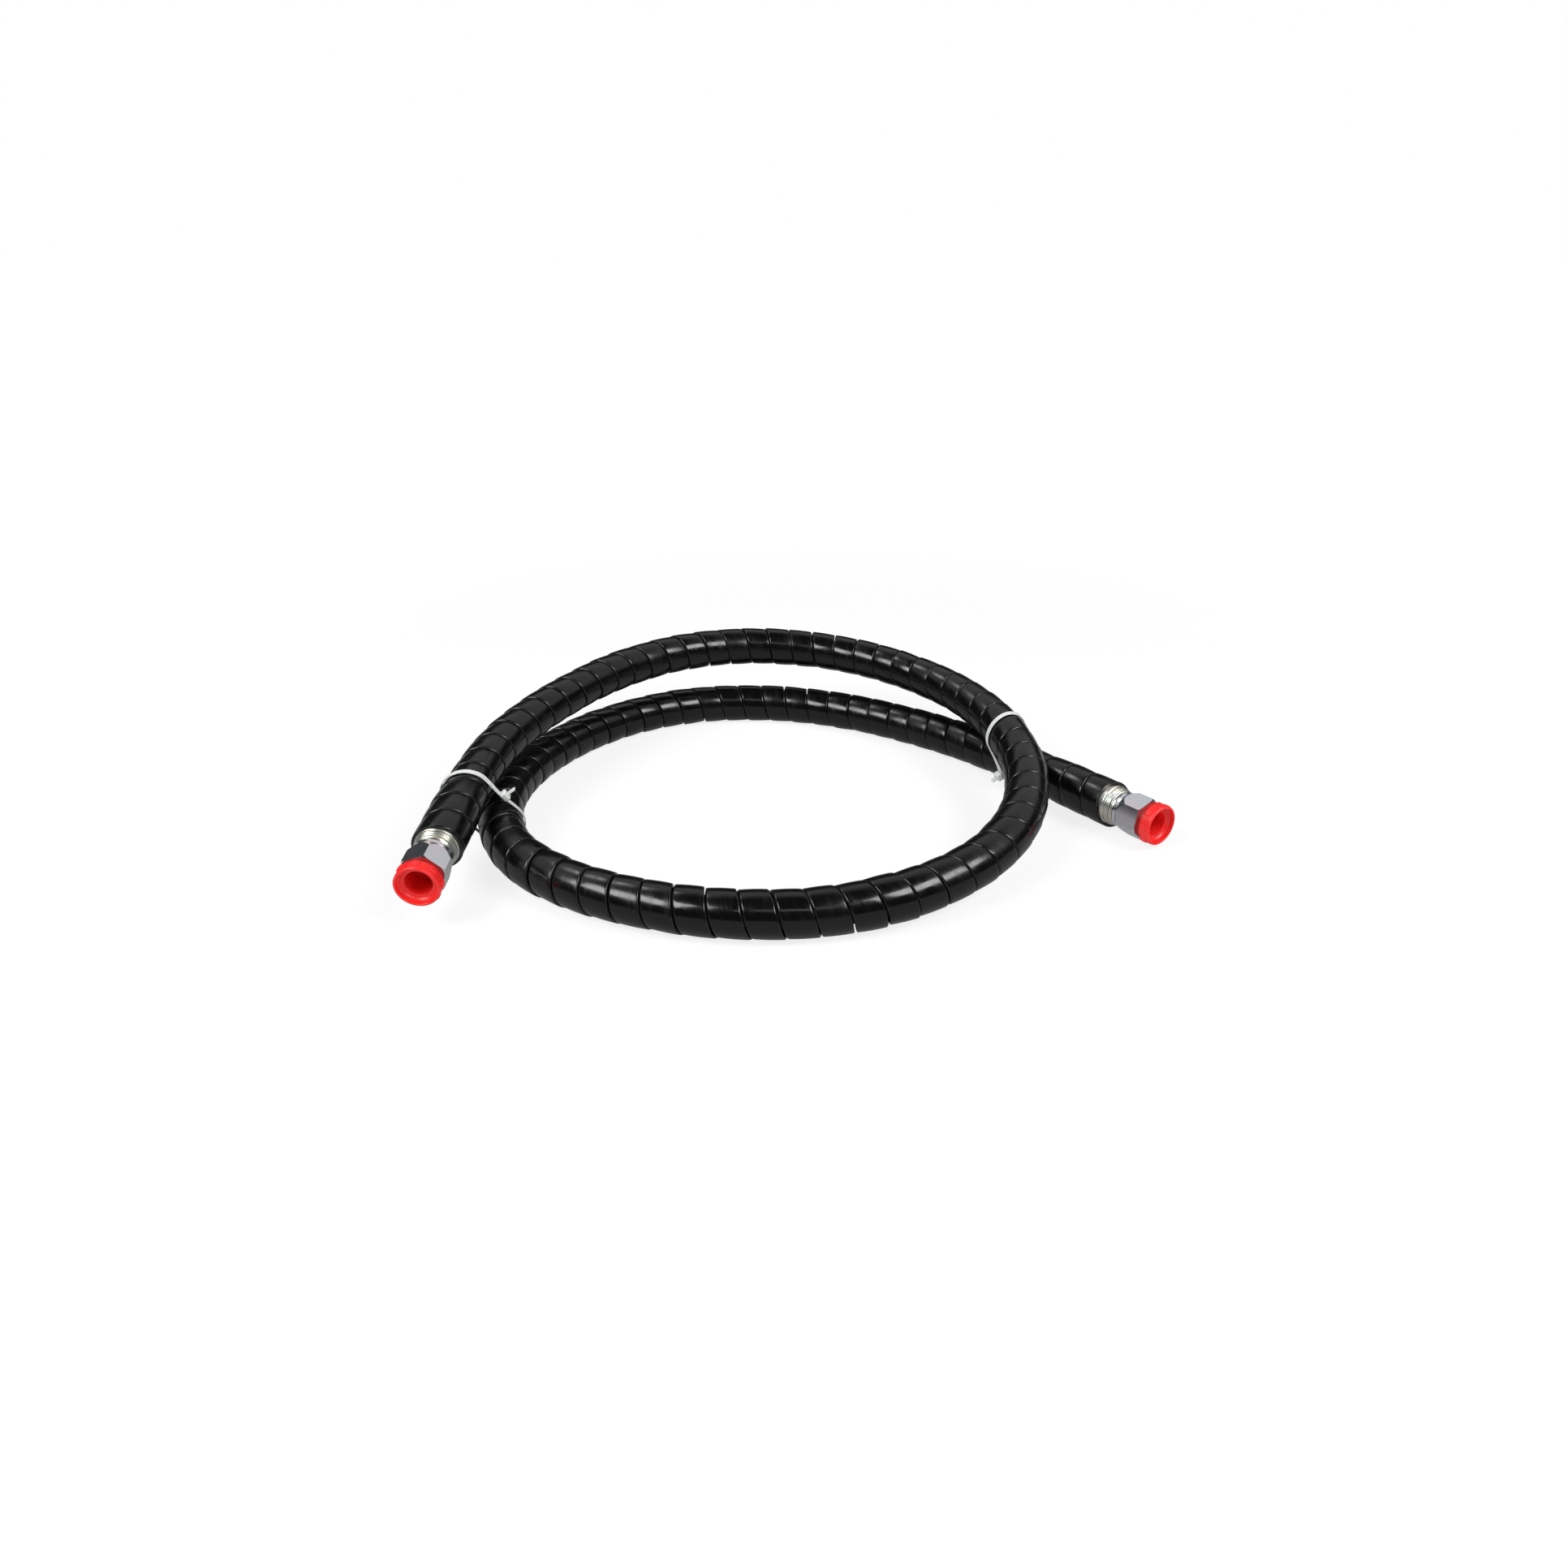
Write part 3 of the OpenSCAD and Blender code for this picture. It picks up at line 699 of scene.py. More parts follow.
class Bench:
    """A workbench that shapes pieces with Blender's own operators, in millimetres."""

    @staticmethod
    def clear() -> None:
        """Leaves edit mode and deselects everything."""
        if bpy.context.object is not None and bpy.context.object.mode != "OBJECT":
            bpy.ops.object.mode_set(mode="OBJECT")
        bpy.ops.object.select_all(action="DESELECT")

    @staticmethod
    def pick(piece: Piece, *others: Piece) -> None:
        """Leaves edit mode and selects only some pieces.

        Args:
            piece: The piece that becomes active.
            others: More pieces.
        """
        Bench.clear()
        for one in (piece, *others):
            one.select_set(True)
        bpy.context.view_layer.objects.active = piece

    @staticmethod
    def edit(piece: Piece) -> None:
        """Opens a piece in edit mode with everything selected.

        Args:
            piece: The piece.
        """
        Bench.pick(piece)
        bpy.ops.object.mode_set(mode="EDIT")
        bpy.ops.mesh.select_all(action="SELECT")

    @staticmethod
    def select_rims() -> None:
        """Selects only the open edges of the piece in edit mode."""
        bpy.ops.mesh.select_all(action="DESELECT")
        bpy.ops.mesh.select_non_manifold()

    @staticmethod
    def close_edit() -> None:
        """Turns all faces outward and leaves edit mode."""
        bpy.ops.mesh.select_all(action="SELECT")
        bpy.ops.mesh.normals_make_consistent(inside=False)
        bpy.ops.object.mode_set(mode="OBJECT")

    @staticmethod
    def named(name: str) -> Piece:
        """Names the active object.

        Args:
            name: Its new name.

        Returns:
            The object.
        """
        piece = bpy.context.object
        piece.name = piece.data.name = name
        return piece

    @staticmethod
    def cube(name: str, size: Point3, at: Point3) -> Piece:
        """Makes a block.

        Args:
            name: Its name.
            size: Its sides.
            at: Its centre.

        Returns:
            The block.
        """
        Bench.clear()
        bpy.ops.mesh.primitive_cube_add(size=1, location=[c * MM for c in at])
        cube = Bench.named(name)
        cube.scale = [c * MM for c in size]
        bpy.ops.object.transform_apply()
        return cube

    @staticmethod
    def turned(name: str, profile: Profile, closed: bool = True, sides: int = 96) -> Piece:
        """Turns a profile about the Z axis by extruding a circle from point to point.

        Args:
            name: Name of the piece.
            profile: Radius and height of each point.
            closed: True for a ring, whose last point joins the first; False for filled ends.
            sides: Points round the axis.

        Returns:
            The new object.
        """
        Bench.clear()
        radius, height = profile[0]
        fill = "NOTHING" if closed else "NGON"
        bpy.ops.mesh.primitive_circle_add(vertices=sides, radius=radius * MM, fill_type=fill,
                                          location=(0, 0, height * MM))
        piece = Bench.named(name)
        bpy.ops.object.transform_apply()
        Bench.edit(piece)
        bpy.ops.mesh.select_mode(type="EDGE")
        for wide, high in profile[1:]:
            bpy.ops.mesh.extrude_edges_move()
            bpy.ops.transform.translate(value=(0, 0, (high - height) * MM))
            grow = wide / radius
            bpy.ops.transform.resize(value=(grow, grow, 1), center_override=(0, 0, 0))
            radius, height = wide, high
        if closed:
            Bench.select_rims()
            bpy.ops.mesh.bridge_edge_loops()
        else:
            bpy.ops.mesh.edge_face_add()
        bpy.ops.mesh.select_mode(type="VERT")
        Bench.close_edit()
        return piece

    @staticmethod
    def modify(piece: Piece, kind: str, **settings: Any) -> None:
        """Adds a modifier and applies it.

        Args:
            piece: The piece.
            kind: The modifier's type.
            settings: Its attributes.
        """
        Bench.pick(piece)
        added = piece.modifiers.new(kind.title(), kind)
        for name, value in settings.items():
            setattr(added, name, value)
        bpy.ops.object.modifier_apply(modifier=added.name)

    @staticmethod
    def combine(piece: Piece, tool: Piece, how: str) -> None:
        """Cuts a piece with a tool, or keeps what both share. The tool is used up."""
        Bench.modify(piece, "BOOLEAN", object=tool, operation=how, solver="EXACT")
        bpy.data.objects.remove(tool)

    @staticmethod
    def join(piece: Piece, others: Sequence[Piece]) -> None:
        """Joins other meshes into a piece."""
        Bench.pick(piece, *others)
        bpy.ops.object.join()

    @staticmethod
    def clean(piece: Piece) -> None:
        """Merges points that lie on one another and drops faces without area.

        Args:
            piece: The piece.
        """
        Bench.edit(piece)
        bpy.ops.mesh.remove_doubles(threshold=MERGE_DISTANCE)
        bpy.ops.mesh.dissolve_degenerate(threshold=MERGE_DISTANCE)
        bpy.ops.object.mode_set(mode="OBJECT")

    @staticmethod
    def soften(piece: Piece, width: float, segments: int = 2, angle: float = 28.0) -> None:
        """Rounds the edges of a piece that are sharper than an angle in degrees."""
        Bench.modify(piece, "BEVEL", width=width * MM, segments=segments, limit_method="ANGLE",
                     angle_limit=math.radians(angle), use_clamp_overlap=True)

    @staticmethod
    def smooth(piece: Piece, angle: float = 30.0) -> None:
        """Smooths the shading of a piece.

        Args:
            piece: The piece.
            angle: Faces that meet at less than this many degrees are shaded as one.
        """
        Bench.pick(piece)
        bpy.ops.object.shade_smooth_by_angle(angle=math.radians(angle))
        Bench.modify(piece, "WEIGHTED_NORMAL", keep_sharp=True)

    @staticmethod
    def wrap(piece: Piece) -> None:
        """Gives a piece two maps: its turning, and its radius and height.

        Args:
            piece: The piece, still on the Z axis.
        """
        mesh = piece.data
        for layer in list(mesh.uv_layers):
            mesh.uv_layers.remove(layer)
        points = np.zeros(len(mesh.vertices) * 3)
        mesh.vertices.foreach_get("co", points)
        points = points.reshape(-1, 3)
        index = np.zeros(len(mesh.loops), int)
        mesh.loops.foreach_get("vertex_index", index)
        x, y, z = points[index].T
        radius = np.hypot(x, y)
        maps = {"turned": (np.arctan2(y, x) / TURN, z + 0.3 * radius), "reach": (radius, z)}
        for name, (across, along) in maps.items():
            layer = mesh.uv_layers.new(name=name)
            layer.data.foreach_set("uv", np.stack([across, along], 1).astype(np.float32).ravel())

    @staticmethod
    def place(piece: Piece, where: Matrix) -> None:
        """Moves a piece to its place and leaves its object at the origin.

        Args:
            piece: The piece.
            where: Its placement.
        """
        Bench.pick(piece)
        piece.matrix_world = where
        bpy.ops.object.transform_apply(location=True, rotation=True, scale=True)


# ---- Hose layers ----


@dataclass
class HoseLayers:
    """The hose itself: a rubber tube, two wire braids with rubber between them, and a cover."""

    route: HoseRoute
    beyond: float = 2.0
    step: float = 8.0
    sides: int = 28
    path_points: int = 480
    tube: Point2 = (6.35, 8.35)
    inner_braid: Point2 = (8.45, 9.05)
    separator: Point2 = (9.15, 9.45)
    outer_braid: Point2 = (9.55, 10.15)
    cover: Point2 = (10.25, 11.4)

    def stations(self, count: int) -> np.ndarray:
        """Even distances from one end of the cover to the other."""
        return np.linspace(-self.beyond, self.route.length + self.beyond, count)

    def layer(self, name: str, node: str, radii: Point2, finish: Finish) -> Piece:
        """Makes one layer as a round tube.

        Args:
            name: Name of the piece.
            node: The frame's node that it stands for.
            radii: Inner and outer radius.
            finish: Its finish.

        Returns:
            The new piece.
        """
        n = self.sides
        s = self.stations(int((self.route.length + 2 * self.beyond) / self.step) + 1)
        centre, _, side, up = self.route.frames(s)
        a = TURN * np.arange(n) / n
        spokes = np.cos(a)[None, :, None] * side[:, None] + np.sin(a)[None, :, None] * up[:, None]
        rings = np.concatenate([centre[:, None] + radius * spokes for radius in reversed(radii)], 1)
        loops = [list(range(n)), [n + (n - j) % n for j in range(n)]]
        caps = [[j, (j + 1) % n, n + (j + 1) % n, n + j] for j in range(n)]
        across = np.concatenate([np.linspace(0, 1, n + 1), np.linspace(1, 0, n + 1)])
        piece = grid_mesh(name, rings, loops, caps, "skin", across, s * MM)
        Bench.smooth(piece, 40)
        finish.dress(piece)
        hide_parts(node)
        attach(piece, "hose")
        return piece

    def build(self) -> tuple[Piece, list[Piece]]:
        """Makes all layers.

        Returns:
            The cover, and the layers inside it.
        """
        cover, *inside = [self.layer(*row) for row in (
            ("cover_tube", "hose_cover", self.cover, COVER_RUBBER),
            ("lining_tube", "hose_inner_tube", self.tube, TUBE_RUBBER),
            ("first_braid", "wire_braid_inner", self.inner_braid, BRAID_WIRE),
            ("braid_cushion", "braid_separator", self.separator, TUBE_RUBBER),
            ("second_braid", "wire_braid_outer", self.outer_braid, BRAID_WIRE))]
        return cover, inside

    def declare(self) -> None:
        path = (self.route.at(self.stations(self.path_points))[0] * MM).tolist()
        (self.route.length + 2 * self.beyond) * MM


# ---- Spiral guard ----


@dataclass
class SpiralGuard:
    """One strip of polyethylene wound round the hose, its ends opened over the ferrules."""

    route: HoseRoute
    turns: int = 96
    seam: float = 1.0
    wall: float = 2.0
    body_radius: float = 17.2
    mouth_radius: float = 18.5
    opening_run: float = 32.0
    steps: int = 44
    crown: float = 0.36
    lean: float = 0.3
    phase: float = 0.18
    tip: float = 1.0
    # Turns that stand proud of the others, by how much, and over how many turns this fades
    proud: Sequence[Point2] = ((46.5, 0.8), (58.2, 0.7))
    proud_reach: float = 0.8
    # Run at each mouth over which the unevenness grows from nothing
    calm_run: float = 60.0
    # Size, seed and waves per turn of each uneven drift along the strip
    rise: Drift = (0.22, 3, 0.9)
    tilt: Drift = (0.3, 7, 0.7)
    slide: Drift = (0.3, 11, 0.6)
    oval_turn: Drift = (3.0, 17, 0.05)
    oval: float = 0.14
    bend_share: float = 0.8
    floor_gap: float = 0.02
    # Slant of the cut at each mouth, in millimetres, and the angle of its longest side
    left_cut: Point2 = (0.6, 200.0)
    right_cut: Point2 = (4.0, 300.0)

    @cached_property
    def pitch(self) -> float:
        """Distance from turn to turn."""
        return self.route.length / self.turns

    @cached_property
    def width(self) -> float:
        """Width of the strip along the hose."""
        return self.pitch - self.seam

    @cached_property
    def section(self) -> np.ndarray:
        """Outline of the strip.

        Returns:
            Each point's place across the strip, and its depth below the outer face.
        """
        half = self.width / 2
        outer = [(0.0, 1.0), (0.2, 0.48), (0.62, 0.13), (1.3, 0.0), (half / 2, 0.0)]
        inner = [(0.0, self.wall - 0.15), (0.2, self.wall)]
        first = [(place - half, depth) for place, depth in [*reversed(inner), *outer]]
        second = [(-place, depth) for place, depth in reversed(first)]
        return np.array([*first[2:], (0.0, 0.0), *second, *first[:2]])

    @staticmethod
    def drift(place: np.ndarray, size: float, seed: int, rate: float) -> np.ndarray:
        """Smooth uneven variation along the guard.

        Args:
            place: Places in turns.
            size: About the greatest value either way.
            seed: Picks the pattern.
            rate: Waves per turn.

        Returns:
            A value for each place.
        """
        phases = np.random.default_rng(seed).uniform(0, TURN, 5)
        rates = rate * np.array([1.0, 0.618, 1.377, 0.291, 2.113])
        weights = np.array([0.45, 0.35, 0.25, 0.3, 0.15])
        waves = zip(weights, rates, phases)
        return size * sum(w * np.sin(TURN * r * place + p) for w, r, p in waves)

    def radius(self, s: np.ndarray) -> np.ndarray:
        """Outer radius of the guard.

        Args:
            s: Distances from the left mouth.

        Returns:
            The radius at each.
        """
        run = self.route.straight_run + self.opening_run
        e = np.clip((run - np.minimum(s, self.route.length - s)) / self.opening_run, 0, 1)
        return self.body_radius + (self.mouth_radius - self.body_radius) * e * e * (3 - 2 * e)

    @staticmethod
    def spoke(angle: np.ndarray, side: np.ndarray, up: np.ndarray) -> np.ndarray:
        """Outward directions at angles round the guard."""
        return np.cos(angle)[:, None] * side + np.sin(angle)[:, None] * up

    def skin(self, s: np.ndarray, angle: np.ndarray) -> np.ndarray:
        """Points of the guard's skin at distances from the left mouth and at angles round it."""
        points, _, *axes = self.route.frames(s)
        return points + self.body_radius * self.spoke(angle, *axes)

    def rings(self) -> tuple[np.ndarray, np.ndarray]:
        """The strip's outline at each step of its winding.

        Returns:
            Points ring by ring, and each ring's place in turns.
        """
        length, half = self.route.length, self.width / 2
        s = np.arange(self.tip - half, length + half - self.tip, self.pitch / self.steps)
        turn = s / self.pitch
        a = TURN * (turn - self.phase)
        centre, direction, *axes = self.route.frames(s)
        spoke = self.spoke(a, *axes)
        # How much longer or shorter the guard's skin is than its centre line at each step
        growth = ((self.skin(s + 1, a) - self.skin(s - 1, a)) * direction).sum(1) / 2 - 1
        start, stop = (at + depth * np.cos(a - math.radians(slant))
                       for at, (depth, slant) in ((0, self.left_cut), (length, self.right_cut)))
        calm = np.clip(np.minimum(s, length - s) / self.calm_run, 0, 1)
        rise = self.drift(turn, *self.rise)
        rise += sum(height * np.exp(-((turn - place) / self.proud_reach) ** 2)
                    for place, height in self.proud)
        oval = self.oval * np.cos(2 * a + self.drift(turn, *self.oval_turn))
        tilt = self.drift(turn, *self.tilt) - self.lean
        slide = self.drift(turn, *self.slide)
        u, depth = self.section.T
        reach = s[:, None] + u[None] + (slide * calm)[:, None]
        reach = np.clip(reach, start[:, None], stop[:, None])
        share = 2 * u / self.width
        r = self.radius(reach) - depth - self.crown * share ** 2
        r += ((rise + oval) * calm)[:, None] + (tilt * calm)[:, None] * share
        shift = (reach - s[:, None]) * (1 + self.bend_share * growth)[:, None]
        rings = centre[:, None] + r[..., None] * spoke[:, None]
        rings += shift[..., None] * direction[:, None]
        rings[..., 2] = np.maximum(rings[..., 2], self.floor_gap)
        return rings, turn

    def build(self) -> Piece:
        """Makes the strip.

        Returns:
            The strip.
        """
        rings, turn = self.rings()
        u = self.section[:, 0]
        loop = list(reversed(range(len(u))))
        edge = np.append(u[::-1], u[-1]) / self.width + 0.5
        piece = grid_mesh("guard_strip", rings, [loop], [loop], "strip", edge, turn)
        Bench.smooth(piece, 50)
        GUARD_BLACK.dress(piece)
        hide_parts("spiral_guard")
        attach(piece, "hose")
        return piece


# ---- End fittings ----


@dataclass
class EndFitting:
    """Crimped ferrule, insert, swivel nut and shipping plug at one end of the hose.

    Heights are counted outward from the guard's mouth.
    """

    end: End
    route: HoseRoute
    roll: float
    stem_back: float = -36.0
    stem_bore: float = 4.5
    stem_radius: float = 5.75
    barb_radius: float = 6.24
    barb_pitch: float = 6.82
    barbs: int = 5
    shank_radius: float = 10.0
    ferrule_back: float = -38.0
    ferrule_bore: float = 12.28
    nut_back: float = 10.5
    nut_front: float = 34.5
    nut_bore: float = 10.06
    nut_groove: float = 10.95
    cone_start: float = 15.5
    flats: float = 30.0
    collar_radius: float = 14.4
    collar_length: float = 3.2
    collar_taper: float = 22.0
    face_radius: float = 16.0
    thread_radius: float = 11.19
    thread_root: float = 12.05
    thread_pitch: float = 1.5
    # How far the ridge's foot is sunk in the bore, and half its width there
    thread_sink: float = 0.12
    thread_half: float = 0.62
    thread_steps: int = 40
    rim_radius: float = 16.2
    rim_back: float = 38.8
    rim_front: float = 47.8
    lugs: int = 8
    lug_roll: float = 24.0
    lug_size: Point3 = (2.0, 5.6, 5.4)
    # Share of a lug's width and height that its outer face keeps
    lug_top: Point2 = (0.82, 0.9)
    pieces: list[Piece] = field(default_factory=list)

    @property
    def side(self) -> str:
        """Name of the end."""
        return self.end.value

    def settle(self, piece: Piece, node: str, body: str, finish: Finish,
               angle: float = 30.0) -> None:
        """Dresses a piece, puts it on the hose's end and ties it to its body.

        Args:
            piece: The piece, still on the Z axis.
            node: The frame's node that it stands for.
            body: The body that it rides on.
            finish: Its finish.
            angle: Faces that meet at less than this are shaded smooth.
        """
        Bench.clean(piece)
        Bench.wrap(piece)
        Bench.smooth(piece, angle)
        Bench.place(piece, self.route.mouth(self.end))
        finish.dress(piece)
        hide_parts(node)
        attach(piece, body)
        self.pieces.append(piece)

    def ferrule(self) -> None:
        """Sleeve with turned ridges at its front and a lip over the insert."""
        back, bore = self.ferrule_back, self.ferrule_bore
        body = [(bore, back), (15.5, back), (16.0, back + 0.5), (16.0, -34.0), (15.6, -33.4),
                (15.6, -4.6)]
        ridges = [(15.7, -4.0), (15.7, -1.6), (16.1, -1.1), (16.2, 0.0), (16.1, 1.0), (15.7, 1.5),
                  (15.05, 1.8), (15.0, 3.2), (15.6, 3.5), (15.6, 4.1), (15.25, 4.3), (15.25, 4.6),
                  (15.5, 4.8), (15.5, 5.3), (15.1, 5.5), (15.1, 5.8), (15.3, 6.0), (15.3, 6.6),
                  (14.9, 7.0)]
        lip = [(8.6, 7.0), (8.6, 4.0), (bore, 4.0)]
        piece = Bench.turned(f"{self.side}_crimped_sleeve", [*body, *ridges, *lip])
        Bench.soften(piece, 0.12)
        self.settle(piece, f"{self.side}_ferrule", "hose", TURNED_ZINC)

    def insert(self) -> None:
        """Barbed stem, ringed shoulder, shank with its groove and cone with its groove."""
        stem, barb, shank = self.stem_radius, self.barb_radius, self.shank_radius
        cone, pitch = self.cone_start, self.barb_pitch
        profile = [(self.stem_bore, self.stem_back)]
        for k in range(self.barbs):
            z = self.stem_back + k * pitch
            crest = z + 0.8 * pitch
            profile += [(stem, z), (barb, z + 0.7 * pitch), (barb, crest), (stem, crest + 0.05)]
        profile += [(stem, 2.1), (8.5, 2.1), (8.5, 7.1), (14.3, 7.1), (14.8, 7.5), (14.8, 8.3),
                    (14.5, 8.6), (14.3, 8.9), (13.9, 10.1), (shank, 10.1), (shank, 12.05),
                    (9.05, 12.3), (9.05, 13.7), (shank, 13.95), (shank, cone), (9.0, cone),
                    (8.55, 17.6), (6.75, 18.0), (6.6, 19.5), (8.1, 19.95), (7.62, 22.0),
                    (self.stem_bore, 22.0)]
        piece = Bench.turned(f"{self.side}_barbed_insert", profile)
        Bench.soften(piece, 0.08)
        self.settle(piece, f"{self.side}_hose_insert", "hose", TURNED_ZINC)

    def nut(self) -> None:
        """Hexagon turned down to a tapered collar, bored and threaded."""
        back, front = self.nut_back, self.nut_front
        corner = self.flats / math.sqrt(3)
        Bench.clear()
        bpy.ops.mesh.primitive_cylinder_add(
            vertices=6, radius=corner * MM, depth=(front - back) * MM,
            location=(0, 0, (front + back) / 2 * MM), rotation=(0, 0, math.radians(self.roll - 30)))
        piece = Bench.named(f"{self.side}_union_nut")
        bpy.ops.object.transform_apply()
        outer, neck, collar = corner + 1, self.collar_radius, back + self.collar_length
        taper_end = collar + (outer - neck) / math.tan(math.radians(self.collar_taper))
        chamfer = (outer - self.face_radius) * math.tan(math.radians(30))
        envelope = [(2.0, back - 0.01), (neck - 0.5, back), (neck, back + 0.5), (neck, collar),
                    (outer, taper_end), (outer, front - chamfer), (self.face_radius, front),
                    (2.0, front + 0.01)]
        blank = Bench.turned("envelope", envelope, closed=False, sides=144)
        Bench.combine(piece, blank, "INTERSECT")
        hole, groove, root = self.nut_bore, self.nut_groove, self.thread_root
        bore = [(hole, back - 1), (hole, 12.1), (groove, 12.35), (groove, 13.65), (hole, 13.9),
                (hole, self.cone_start), (root, self.cone_start), (root, front - 1.25),
                (root + 2.25, front + 1)]
        Bench.combine(piece, Bench.turned("bore", bore, closed=False), "DIFFERENCE")
        Bench.soften(piece, 0.16, segments=2, angle=20)
        Bench.join(piece, [self.thread()])
        self.settle(piece, f"{self.side}_swivel_nut", f"nut_{self.side}", MILLED_ZINC, 25)

    def thread(self) -> Piece:
        """The ridge of the nut's thread: a triangle that is screwed up the bore.

        Returns:
            The ridge, closed at both ends.
        """
        first, last = self.cone_start + 1.2, self.nut_front - 2.0
        turns = (last - first) / self.thread_pitch
        steps = int(turns * self.thread_steps)
        Bench.clear()
        bpy.ops.mesh.primitive_circle_add(vertices=3, radius=MM, fill_type="NOTHING",
                                          rotation=(math.pi / 2, math.radians(90), 0))
        ridge = Bench.named("thread_ridge")
        bpy.ops.object.transform_apply()
        foot = self.thread_root + self.thread_sink
        points = [(self.thread_radius, 0.0), (foot, self.thread_half), (foot, -self.thread_half)]
        for vertex, (r, z) in zip(ridge.data.vertices, points):
            vertex.co = (r * MM, 0, (first + z) * MM)
        Bench.modify(ridge, "SCREW", angle=TURN * turns, screw_offset=(last - first) * MM,
                     steps=steps, render_steps=steps, use_normal_calculate=True)
        Bench.edit(ridge)
        Bench.select_rims()
        bpy.ops.mesh.edge_face_add()
        Bench.close_edit()
        return ridge

    def plug(self) -> None:
        """Cup with a flange, a ledged dish, a tapered hollow and grip lugs round its rim."""
        r, back, front = self.rim_radius, self.rim_back, self.rim_front
        shank = [(0.8, 23.5), (10.2, 23.5), (11.04, 24.3), (11.04, 27.0), (10.8, 27.3),
                 (10.8, 30.6), (11.04, 30.9), (11.04, 33.4), (10.7, 33.8), (10.7, 34.6)]
        flange = [(14.7, 34.6), (14.8, 34.7), (14.8, 35.7), (14.1, 36.1), (14.0, 38.3),
                  (14.0, back)]
        rim = [(r - 0.5, back), (r, back + 0.5), (r, front - 1.3), (r - 0.15, front - 0.65),
               (r - 0.6, front - 0.16), (r - 1.2, front), (r - 1.75, front - 0.05)]
        dish = [(r - 2.0, front - 0.35), (r - 2.3, front - 2.8), (r - 3.2, front - 3.2),
                (r - 4.1, front - 4.55), (r - 4.5, front - 4.8)]
        hollow = [(10.3, front - 4.8), (9.9, front - 4.95), (9.74, front - 5.4), (9.14, 25.4),
                  (8.6, 24.9), (0.8, 24.9)]
        profile = [*shank, *flange, *rim, *dish, *hollow]
        piece = Bench.turned(f"{self.side}_red_plug", profile, closed=False)
        Bench.soften(piece, 0.1)
        first, step = self.roll + self.lug_roll, 360 / self.lugs
        Bench.join(piece, [self.lug(first + step * k) for k in range(self.lugs)])
        self.settle(piece, f"{self.side}_plug", f"plug_{self.side}", PLUG_RED, 40)

    def lug(self, angle: float) -> Piece:
        """One grip lug.

        Args:
            angle: Its place round the rim in degrees.

        Returns:
            The lug, on the rim.
        """
        lug = Bench.cube("lug", self.lug_size, (self.rim_radius - 0.2, 0.0, self.rim_back + 3.2))
        Bench.edit(lug)
        bpy.ops.mesh.select_all(action="DESELECT")
        bpy.ops.object.mode_set(mode="OBJECT")
        for face in lug.data.polygons:
            face.select = face.normal.x > 0.9
        bpy.ops.object.mode_set(mode="EDIT")
        bpy.ops.transform.resize(value=(1, *self.lug_top))
        bpy.ops.object.mode_set(mode="OBJECT")
        Bench.soften(lug, 0.5, segments=3)
        lug.rotation_euler = (0, 0, math.radians(angle))
        bpy.ops.object.transform_apply()
        return lug

    def dress_small_parts(self) -> None:
        """Gives the ring and the wire of the frame their finishes."""
        for kind, finish in (("o_ring", RING_RUBBER), ("retaining_wire", SPRING_WIRE)):
            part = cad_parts[f"{self.side}_{kind}"]
            finish.dress(part)
            self.pieces.append(part)

    def build(self) -> list[Piece]:
        """Makes every piece of this end.

        Returns:
            The pieces.
        """
        self.ferrule()
        self.insert()
        self.nut()
        self.plug()
        self.dress_small_parts()
        return self.pieces


# ---- Cable ties ----


